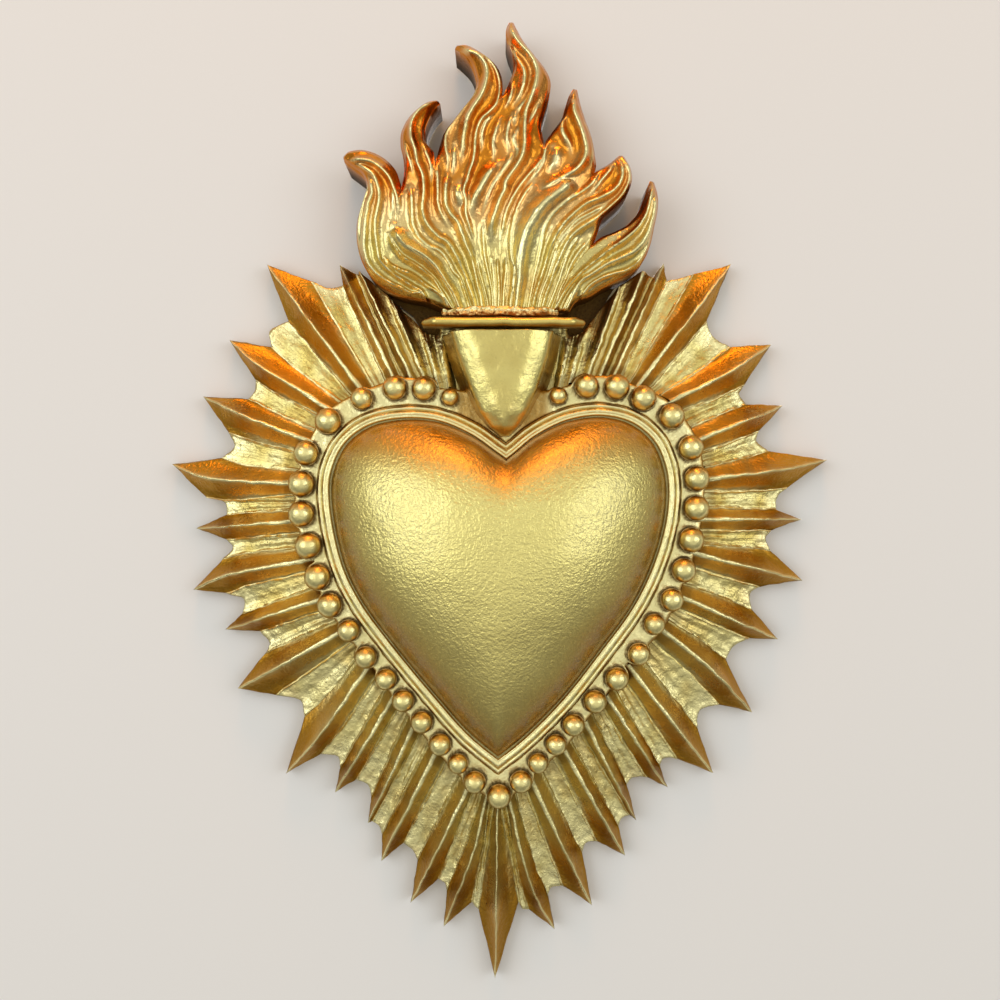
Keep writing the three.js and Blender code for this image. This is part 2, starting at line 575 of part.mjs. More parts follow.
// A bar across the throat whose front and ends are rounded.
function crossBar(left, right, low, high, front) {
  const middle = (low + high) / 2;
  const half = (high - low) / 2;
  const nose = half * 1.2;
  const section = (x, share) => {
    const arc = [];
    for (let step = 0; step <= 6; step += 1) {
      const angle = (step / 6) * Math.PI;
      const y = middle - half * share * Math.cos(angle);
      arc.push(new THREE.Vector3(x, y, front - nose + nose * share * Math.sin(angle)));
    }
    return [new THREE.Vector3(x, middle - half * share, throatSeat), ...arc,
      new THREE.Vector3(x, middle + half * share, throatSeat)];
  };
  const ends = [[0, 0.35], [0.25, 0.75], [0.7, 1]];
  const rows = ends.map(([along, share]) => section(left + half * along, share));
  rows.push(section((left + right) / 2, 1));
  ends.reverse().forEach(([along, share]) => rows.push(section(right - half * along, share)));
  return skin(rows, false);
}

// One tongue of the flame: rows across it from root to tip, ridged in front and flat behind.
function tongueSolid({ foot, left, right, front, ridges }) {
  const edge = (start, points) => curveThrough([[start * stretchX, flameFoot], ...points.map(laid)]);
  const leftEdge = edge(foot[0], left).getSpacedPoints(FLAME_ROWS);
  const rightEdge = edge(foot[1], right).getSpacedPoints(FLAME_ROWS);
  const across = ridges * 2;
  const sections = leftEdge.map((a, row) => {
    const b = rightEdge[row];
    const along = row / FLAME_ROWS;
    const swell = Math.sin(Math.PI * Math.min(along * 1.25, 1));
    const base = THREE.MathUtils.lerp(FLAME_ROOT_FRONT, FLAME_TIP_FRONT, along);
    const face = [];
    for (let i = 0; i <= across; i += 1) {
      const ridge = i % 2 ? RIDGE_RISE * (1 - along ** 2) : 0;
      const edge = i === 0 || i === across ? RIDGE_RISE * 0.6 : 0;
      const p = a.clone().lerp(b, i / across);
      p.z = base + (front - base) * swell + ridge - edge;
      face.push(p);
    }
    return [new THREE.Vector3(a.x, a.y, 0), ...face, new THREE.Vector3(b.x, b.y, 0)];
  });
  return toSolid(skin(sections, false));
}

function flameBody() {
  return TONGUES.map(tongueSolid).reduce((whole, tongue) => whole.add(tongue));
}

function flameGeometry(flame) {
  const half = LAP_HALF_WIDTH + FIT;
  const pocket = rectangle(-half, half, flameFoot - 1, flameFoot + LAP_LENGTH + FIT);
  return toGeometry(flame.subtract(prism(pocket, -1, LAP_THICK + FIT)));
}

// Round wire along a run of points that lie in the plane square to up: a section round each point.
function wireSections(points, wire, up, closedRun) {
  return points.map((p, i) => {
    const before = points[closedRun ? (i + points.length - 1) % points.length : Math.max(i - 1, 0)];
    const after = points[closedRun ? (i + 1) % points.length : Math.min(i + 1, points.length - 1)];
    const along = after.clone().sub(before).normalize();
    const side = new THREE.Vector3().crossVectors(along, up).normalize();
    return Array.from({ length: WIRE_SIDES }, (_, k) => {
      const angle = ((k + 0.5) / WIRE_SIDES) * Math.PI * 2;
      return p.clone()
        .addScaledVector(side, (wire / 2) * Math.cos(angle))
        .addScaledVector(up, (wire / 2) * Math.sin(angle));
    });
  });
}

// Points along part of a circle, for the bends of the two wires.
function bend(cx, cy, radius, from, to, steps) {
  return Array.from({ length: steps + 1 }, (_, k) => {
    const angle = THREE.MathUtils.degToRad(THREE.MathUtils.lerp(from, to, k / steps));
    return [cx + radius * Math.cos(angle), cy + radius * Math.sin(angle)];
  });
}

// The ring, drawn with its straight bar on the line y = 0 and its bow hanging below.
function hangerRing() {
  const half = RING_WIDTH / 2;
  const path = [
    ...bend(-half + RING_CORNER, -RING_CORNER, RING_CORNER, 180, 90, 3),
    ...bend(half - RING_CORNER, -RING_CORNER, RING_CORNER, 90, 0, 3),
    ...bend(0, -RING_DROP + half, half, 0, -180, 12),
  ];
  const points = path.map(([x, y]) => new THREE.Vector3(x, y + HANGER_HEIGHT, ringDepth));
  return skin(wireSections(points, RING_WIRE, new THREE.Vector3(0, 0, 1), true), true);
}

// The staple, astride the straight bar of the ring, with a leg set in the plate above and below it.
function hangerStaple() {
  const barDepth = STAPLE_INSET + STAPLE_WIRE / 2;
  const radius = STAPLE_WIRE * 0.6;
  const foot = recessDepth + STAPLE_LEG;
  const path = [
    [-legReach, foot],
    ...bend(-legReach + radius, barDepth + radius, radius, 180, 270, 3),
    ...bend(legReach - radius, barDepth + radius, radius, 270, 360, 3),
    [legReach, foot],
  ];
  const points = path.map(([y, depth]) => new THREE.Vector3(0, HANGER_HEIGHT + y, depth));
  return skin(wireSections(points, STAPLE_WIRE, new THREE.Vector3(1, 0, 0), false), false);
}

const exVoto = new THREE.Group();

function place(name, geometry, material) {
  const mesh = new THREE.Mesh(geometry, material);
  mesh.name = name;
  exVoto.add(mesh);
}

const lines = rayLines();
const heart = heartLoop();
const flame = flameBody();

place('sunburst_plate', sunburstPlate(lines, flame), copperGold);
place('bead_band', beadBand(lines, heart), paleGold);
place('heart_rim', heartRim(heart), paleGold);
place('heart_dome', heartDome(heart), gold);
BEADS.forEach((spot, i) => place(`bead_${String(i + 1).padStart(2, '0')}`, bead(spot), paleGold));
place('flame_cup', flameCup(), paleGold);
place('cup_collar', crossBar(COLLAR_LEFT, COLLAR_RIGHT, collarLow, collarHigh, COLLAR_FRONT), gold);
place('cup_lip', crossBar(-LIP_HALF_WIDTH, LIP_HALF_WIDTH, lipLow, lipHigh, LIP_FRONT), copperGold);
place('flame', flameGeometry(flame), gold);
place('hanger_staple', hangerStaple(), steel);
place('hanger_ring', hangerRing(), steel);

// Stand the face-on drawing upright, with the front towards -Y.
exVoto.rotation.x = Math.PI / 2;

export default exVoto;
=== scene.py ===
"""A gilded wall ex-voto: a flaming heart on a sunburst of carved rays, cast in resin and painted gold.

Sizes are in millimetres until a piece is made, and then in metres. Every piece is drawn face on, as
across, up and depth from the wall. The wall lies behind the flat back and the front faces -Y.
"""

import math

import bmesh
import bpy
import numpy as np
from mathutils.geometry import delaunay_2d_cdt
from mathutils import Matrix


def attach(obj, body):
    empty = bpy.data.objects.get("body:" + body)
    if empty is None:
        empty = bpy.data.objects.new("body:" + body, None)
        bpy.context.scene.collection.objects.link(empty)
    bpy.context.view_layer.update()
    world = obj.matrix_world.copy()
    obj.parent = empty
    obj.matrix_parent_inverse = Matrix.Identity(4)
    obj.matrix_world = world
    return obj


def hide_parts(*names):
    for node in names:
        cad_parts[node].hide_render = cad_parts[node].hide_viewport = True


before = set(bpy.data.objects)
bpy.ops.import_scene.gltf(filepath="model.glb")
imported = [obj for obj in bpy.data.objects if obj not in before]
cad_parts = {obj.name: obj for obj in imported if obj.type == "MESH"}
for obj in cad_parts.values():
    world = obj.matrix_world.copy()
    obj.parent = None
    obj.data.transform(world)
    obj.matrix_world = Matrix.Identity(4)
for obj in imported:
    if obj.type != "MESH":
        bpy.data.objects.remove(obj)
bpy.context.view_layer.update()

bl_info = {
    "name": "Sunburst ex-voto",
    "version": (1, 0, 0),
    "blender": (4, 5, 0),
    "location": "View3D > Sidebar > Ex-voto",
    "description": "Dresses the packed sunburst ex-voto in its carved and painted surfaces",
    "category": "Object",
}

# Depths from the wall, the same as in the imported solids.
FLOOR = 6.0
CREST_ROOT = 9.0
VALLEY_ROOT = 6.5
WEB_EDGE = 3.0
RAY_TIP = 3.5
HIGH_RAY_TIP = 5.5
BED_TOP = 9.5
BED_UNDER = 6.3
THROAT_SEAT = 6.8
CUP_FRONT = 16.5
DOME_RISE = 15.0
FLAME_FRONT = 11.9
FLAME_BACK = 0.05
LAP_DEPTH = 7.0
APRON_FRONT = 3.0

# The recess in the back (half width, low, high, depth), the bores for the staple's legs (radius, distance
# from the middle, depth) and the height of the staple.
RECESS = (7.7, 8.3, 31.7, 3.4)
LEG_BORE = (0.9, 1.6, 1.9)
HANGER_HEIGHT = 20.0

# Where a slope meets the bed, as a share of the way from its ray's root to the next one.
FOOT_SHARE = 0.34
DOME_CENTRE = (-0.3, -10)
FLAME_FOOT = 38.5

# The drawing of the face, ray by ray from the cup round the left side: root, where the crest meets the bed
# of the beads; where the slope before it reaches the edge; tip; where the slope after it does; and bay, the
# deepest point of the next scallop. The narrow rays beside the cup have only a root, a tip and a tint, how
# coppery they are.
RAY_ROWS = [
    ((-11, 24.8), (-13, 34.5), 0.25),
    ((-13, 25), (-15.5, 35), 0.25),
    ((-16, 26), (-22.5, 42), 0.4),
    ((-19, 27), (-29.5, 48.2), 0.5),
    ((-22.5, 26.5), (-30.5, 48), (-34, 50), (-33.5, 45.5), (-36, 45)),
    ((-29.5, 24), (-40, 46.5), (-49.5, 50), (-45, 38), (-49, 36)),
    ((-36.8, 19.8), (-48.5, 32.5), (-57.5, 34), (-52, 25.5), (-52.2, 23)),
    ((-41.2, 12.8), (-53.5, 21.5), (-63, 22), (-57.5, 14), (-56.5, 11.5)),
    ((-44, 3.5), (-59, 9), (-69.5, 7.5), (-62.5, 0.5), (-58.5, -0.5)),
    ((-44, -4.5), (-58, -3), (-64.5, -6), (-58, -8.5), (-56.8, -10)),
    ((-40.5, -12.5), (-59, -12.5), (-65, -19), (-58, -20), (-54.5, -21)),
    ((-38.5, -21), (-54.8, -24.2), (-58.3, -27.5), (-51, -28), (-49, -30.5)),
    ((-34, -28), (-50, -32.5), (-55.7, -40), (-47.5, -41.5), (-42.5, -42.5)),
    ((-28, -35.5), (-41.5, -46), (-45.5, -58), (-38, -54), (-34.5, -54.5)),
    ((-23, -42.5), (-34, -57), (-35, -62), (-30.5, -59.5), (-28, -60.5)),
    ((-18.5, -48), (-27.3, -63), (-28, -68.5), (-27, -68.4), (-25.6, -69.3)),
    ((-14, -53.5), (-25, -71), (-25.2, -76.5), (-20.5, -73), (-18.5, -74.3)),
    ((-7, -60.5), (-17.5, -76.5), (-19, -85.5), (-13, -80.5), (-11.7, -81.5)),
    ((-3.2, -63), (-11.3, -83), (-12, -90.5), (-6, -85.5), (-5.5, -86.3)),
    ((-0.5, -64), (-4.6, -87), (-1, -101.5), (3.9, -85.5), (4.7, -87)),
    ((2.2, -63.4), (6, -87), (11.6, -91), (10.3, -84), (11, -82.4)),
    ((7, -59), (13.3, -81.9), (19.5, -86), (17.5, -75), (18.3, -72.9)),
    ((14, -53), (20.5, -72.5), (26.5, -75.5), (25.2, -69.3), (25.8, -67.8)),
    ((18.5, -47.5), (27.5, -67), (29, -68), (27, -60.5), (28, -59)),
    ((23, -42), (31, -59), (35.5, -61), (34, -56.5), (34.8, -55)),
    ((27.5, -35.5), (37.5, -55), (45.2, -58), (42, -48.5), (42.4, -44.7)),
    ((35, -28), (46.5, -43.5), (53.5, -45), (48, -34), (49.7, -31)),
    ((38.5, -20.5), (53, -29.5), (59, -29.5), (53.5, -23), (53.3, -20)),
    ((42, -11.5), (55, -18.5), (64.2, -17), (57.4, -10.5), (56.4, -8.2)),
    ((43.5, -4), (57.5, -6.5), (64, -4), (58.7, -2), (58.9, 0.5)),
    ((44, 4.5), (61, 2.5), (69.5, 8.5), (57, 10.5), (54.5, 12.5)),
    ((42.5, 13), (55, 14.5), (60, 20), (52.2, 20.5), (51, 22.5)),
    ((36.8, 21.2), (52, 24.5), (57.5, 33), (48.8, 32.6), (45.2, 35)),
    ((29.5, 25), (44, 38), (49, 50), (41, 48), (38.2, 47.1)),
    ((24, 27), (35.5, 46.5), (34.7, 50.2), (32.5, 47.5)),
    ((21.3, 27.4), (30, 48.2), 0.5),
    ((18.5, 26.5), (25, 45), 0.4),
    ((14.5, 25.4), (17, 35), 0.25),
    ((12.5, 24.8), (14.8, 34.5), 0.25),
]
RAYS = [dict(zip(("root", "tip", "tint") if len(row) == 3 else ("root", "before", "tip", "after", "bay"), row))
        for row in RAY_ROWS]

# Points that the crest of a bent ray passes through, by the ray's place in the list.
BENDS = {
    6: [(-41.5, 22.8), (-51.3, 28.9)], 7: [(-54.3, 18)], 8: [(-54.1, 4), (-63, 5)], 10: [(-58.8, -16.2)],
    13: [(-37.6, -49.1)], 18: [(-5.4, -72.7)], 20: [(4.6, -73.8), (7.3, -82.8)],
    23: [(22.9, -56.2), (26.3, -63)], 25: [(36.5, -46.9)], 26: [(44.8, -35.9)], 30: [(56.3, 6), (63, 7.1)],
    32: [(45.8, 25.6), (51.4, 28.9)],
}

# The ground under the cup, each line from the bed upwards.
THROAT = [((11, 24.5), (13.3, 38)), ((0, 24.5), (1, 39.3)), ((-9, 24.5), (-11.8, 38))]

# The low ground under the foot of the flame and the lap that the flame is glued to.
APRON = [
    (-12, 31), (-15.5, 34.5), (-18.5, 39), (-22.3, 41.8), (-24, 43.8), (-16, 44.5), (-8, 46), (-8, 61.6),
    (8, 61.6), (8, 46), (16, 44.5), (24.2, 44.8), (20.8, 39.3), (17.5, 35), (13.5, 31),
]

# The outer edge of the rolls, from the cleft to the point down each side.
HEART_CLEFT = (1.2, 11.7)
HEART_POINT = (-0.4, -56.6)
HEART_LEFT = [
    (-4.5, 15.7), (-12.3, 18.9), (-21, 19.4), (-28.6, 17.5), (-34.2, 13), (-37.4, 5.8), (-37.5, -2),
    (-34.8, -14.4), (-31, -22.2), (-24.6, -31), (-16.3, -41.1), (-8.2, -50.2),
]
HEART_RIGHT = [
    (5.8, 15.4), (13, 18.9), (21, 20), (28.4, 18.2), (34, 13.4), (36.9, 6), (37, -2.5), (34.6, -12.6),
    (30, -22.6), (23, -32.4), (14.6, -43), (6.4, -51.2),
]

# The beads: across, up and radius.
BEADS = [
    (-10.3, 21.1, 1.8), (-15.6, 22.9, 2.5), (-21.6, 23, 2.5), (-28.4, 20.8, 2.3), (-35.3, 16.2, 2.7),
    (-39.8, 9.6, 2.6), (-40.8, 3.3, 2.7), (-40.8, -2.9, 2.7), (-39.4, -9.4, 2.7), (-37.5, -15.8, 2.7),
    (-35, -21.6, 2.6), (-31.1, -26.8, 2.3), (-27.6, -32.3, 2.3), (-23.4, -36.8, 2.2), (-19.9, -41.2, 2.3),
    (-16.1, -45.6, 2.3), (-12.3, -50.2, 2.3), (-8.6, -54.1, 2.1), (-5.2, -57.9, 2.3), (-0.2, -60.8, 2.5),
    (4.3, -57.8, 2.3), (7.8, -54, 2.1), (11.5, -50.2, 2.2), (15.1, -46.2, 2.3), (19.5, -41.4, 2.4),
    (24, -36.7, 2.4), (28.5, -31.6, 2.3), (31.7, -25.5, 2.2), (35.3, -20.5, 2.4), (37.7, -14.4, 2.5),
    (39.3, -8.2, 2.6), (40.3, -1.7, 2.6), (40.4, 4.4, 2.6), (39.2, 10.7, 2.6), (35.3, 17.2, 2.6),
    (29.5, 20.9, 2.6), (24, 23.2, 2.6), (17.8, 23.4, 2.5), (12, 21.4, 1.8),
]

# The cup from its mouth down: height, left and right side, and how full it stands.
CUP_ROWS = [
    (34.3, -9.7, 10.5, 1), (30, -8.5, 9.6, 1), (26, -7.1, 8.4, 0.95), (22, -5.6, 7, 0.85),
    (18, -4, 5.3, 0.65), (15, -2, 3.5, 0.4), (13, 0.2, 1.8, 0.1),
]

# The tongues of the flame: the two ends of the foot, then the left and the right side up to the tip.
TONGUES = [
    ((-9.8, -8),
     [(-15.3, 40.8), (-20.4, 41.9), (-23.5, 43.3), (-26.1, 45.3), (-28.2, 48.6), (-29.2, 52.5),
      (-29.2, 56.8), (-28.2, 60.3), (-27.2, 63.3), (-27.9, 66), (-29.8, 67.6), (-31.9, 69.2)],
     [(-10.2, 42.9), (-12.3, 45.8), (-14.7, 48.6), (-18, 51.1), (-20.2, 53.5), (-20.8, 56.8),
      (-20.4, 60.3), (-20.4, 63.7), (-21.2, 67.2), (-24.1, 70.2), (-27.8, 71.7), (-31, 71.4), (-32.1, 70.4)]),
    ((-8.6, -3.5),
     [(-10.6, 42.9), (-12.7, 45.5), (-15.1, 48.4), (-18.4, 50.9), (-20.6, 53.5), (-21.2, 56.8),
      (-20.8, 60.3), (-20.2, 63.7), (-19.6, 67), (-19.8, 69.9), (-20.4, 72.7), (-20.2, 75.6),
      (-18.6, 78.6), (-16.2, 80.9), (-14.4, 81.9), (-13, 82.2)],
     [(-4.3, 44.9), (-5.3, 48.6), (-6.7, 52.1), (-8.8, 55.1), (-10.8, 58), (-12.1, 61.3), (-12.7, 65.4),
      (-13.3, 68.6), (-13.7, 71.5), (-15.1, 73.3), (-15.4, 75.6), (-14.7, 78), (-13.5, 80.1), (-12.3, 81.5)]),
    ((-4.1, -1.8),
     [(-4.7, 44.5), (-5.9, 48.2), (-7.4, 51.9), (-9.4, 54.9), (-11.2, 57.8), (-12.7, 61.3), (-13.1, 65.4),
      (-13.1, 69), (-12.3, 72.7), (-11.4, 75.2), (-10, 77), (-8, 79.7), (-5.9, 82.3), (-4.9, 84.8),
      (-5.1, 87), (-6.1, 89.7), (-7.9, 91.7), (-9.3, 92.9)],
     [(-2.7, 44.9), (-4.5, 50), (-6.5, 56), (-7.2, 60.7), (-6.5, 64.1), (-4.9, 68), (-4.1, 72.1),
      (-3.1, 76.2), (-0.8, 79.5), (0.4, 82.9), (0.4, 86.3), (-0.6, 88.9), (-2.5, 90.9), (-4.9, 92.7),
      (-7, 93.7), (-8.9, 93.7)]),
    ((-2.5, 2.7),
     [(-3.3, 44.9), (-5.1, 50), (-7.1, 56), (-8, 60.7), (-7.1, 64.1), (-5.5, 68), (-4.7, 72.1),
      (-3.7, 76.2), (-1.4, 79.7), (0.6, 82.9), (2, 86.2), (2.8, 88.6), (2.5, 91.5), (1.6, 94), (1.2, 96.5),
      (1.9, 98.5)],
     [(2.5, 47), (2.5, 53.1), (3.1, 58.8), (5.1, 63.3), (7.6, 67), (9.2, 70.7), (8.8, 74.3), (8.4, 76.8),
      (9, 79.2), (10, 82.7), (10.4, 85.8), (9.4, 88.4), (7.1, 91.3), (4.9, 94.2), (3.5, 96.7), (2.7, 98.5)]),
    ((2, 5.9),
     [(1.8, 47), (1.8, 53.1), (2.5, 58.8), (4.5, 63.3), (6.7, 67), (8.6, 70.7), (9.4, 73.5), (10.8, 75.6),
      (12.5, 77.8), (13.3, 80.3), (14.1, 82.8), (15.1, 84.7)],
     [(6.7, 45.8), (7.8, 50.9), (8.8, 54.9), (11.2, 58.6), (14.7, 61.7), (18, 64.7), (19.6, 67.8),
      (19.4, 70.5), (18.8, 73.7), (17.8, 77), (16.6, 80.8), (15.8, 84.5)]),
    ((5.3, 11),
     [(6.1, 46), (7.1, 51.1), (8.2, 55.1), (10.6, 58.8), (14.3, 61.9), (17.8, 65.2), (20, 67.4),
      (21.9, 68.5), (23.4, 69.6), (24.5, 70.6)],
     [(12.5, 43.1), (14.3, 46), (16.5, 48.8), (18.6, 51.7), (20, 54.7), (20.8, 57.2), (22.7, 59),
      (24.5, 60.7), (26.1, 62.7), (26.9, 65.4), (26.5, 68), (25.5, 70.2)]),
    ((10.4, 14.1),
     [(11.8, 42.9), (13.7, 45.8), (15.9, 48.8), (18.4, 51.7), (20.6, 53.7), (23.5, 54.9), (25.9, 56.2),
      (28, 58.4), (29.2, 60.9), (30.1, 63.5), (30.7, 65.3)],
     [(15.7, 40.8), (18.4, 41.9), (21.4, 43.7), (24.5, 45.3), (27.6, 47), (29.4, 49), (30.8, 52.5),
      (31.5, 56), (32.1, 59.2), (32.2, 62), (31.5, 65)]),
]

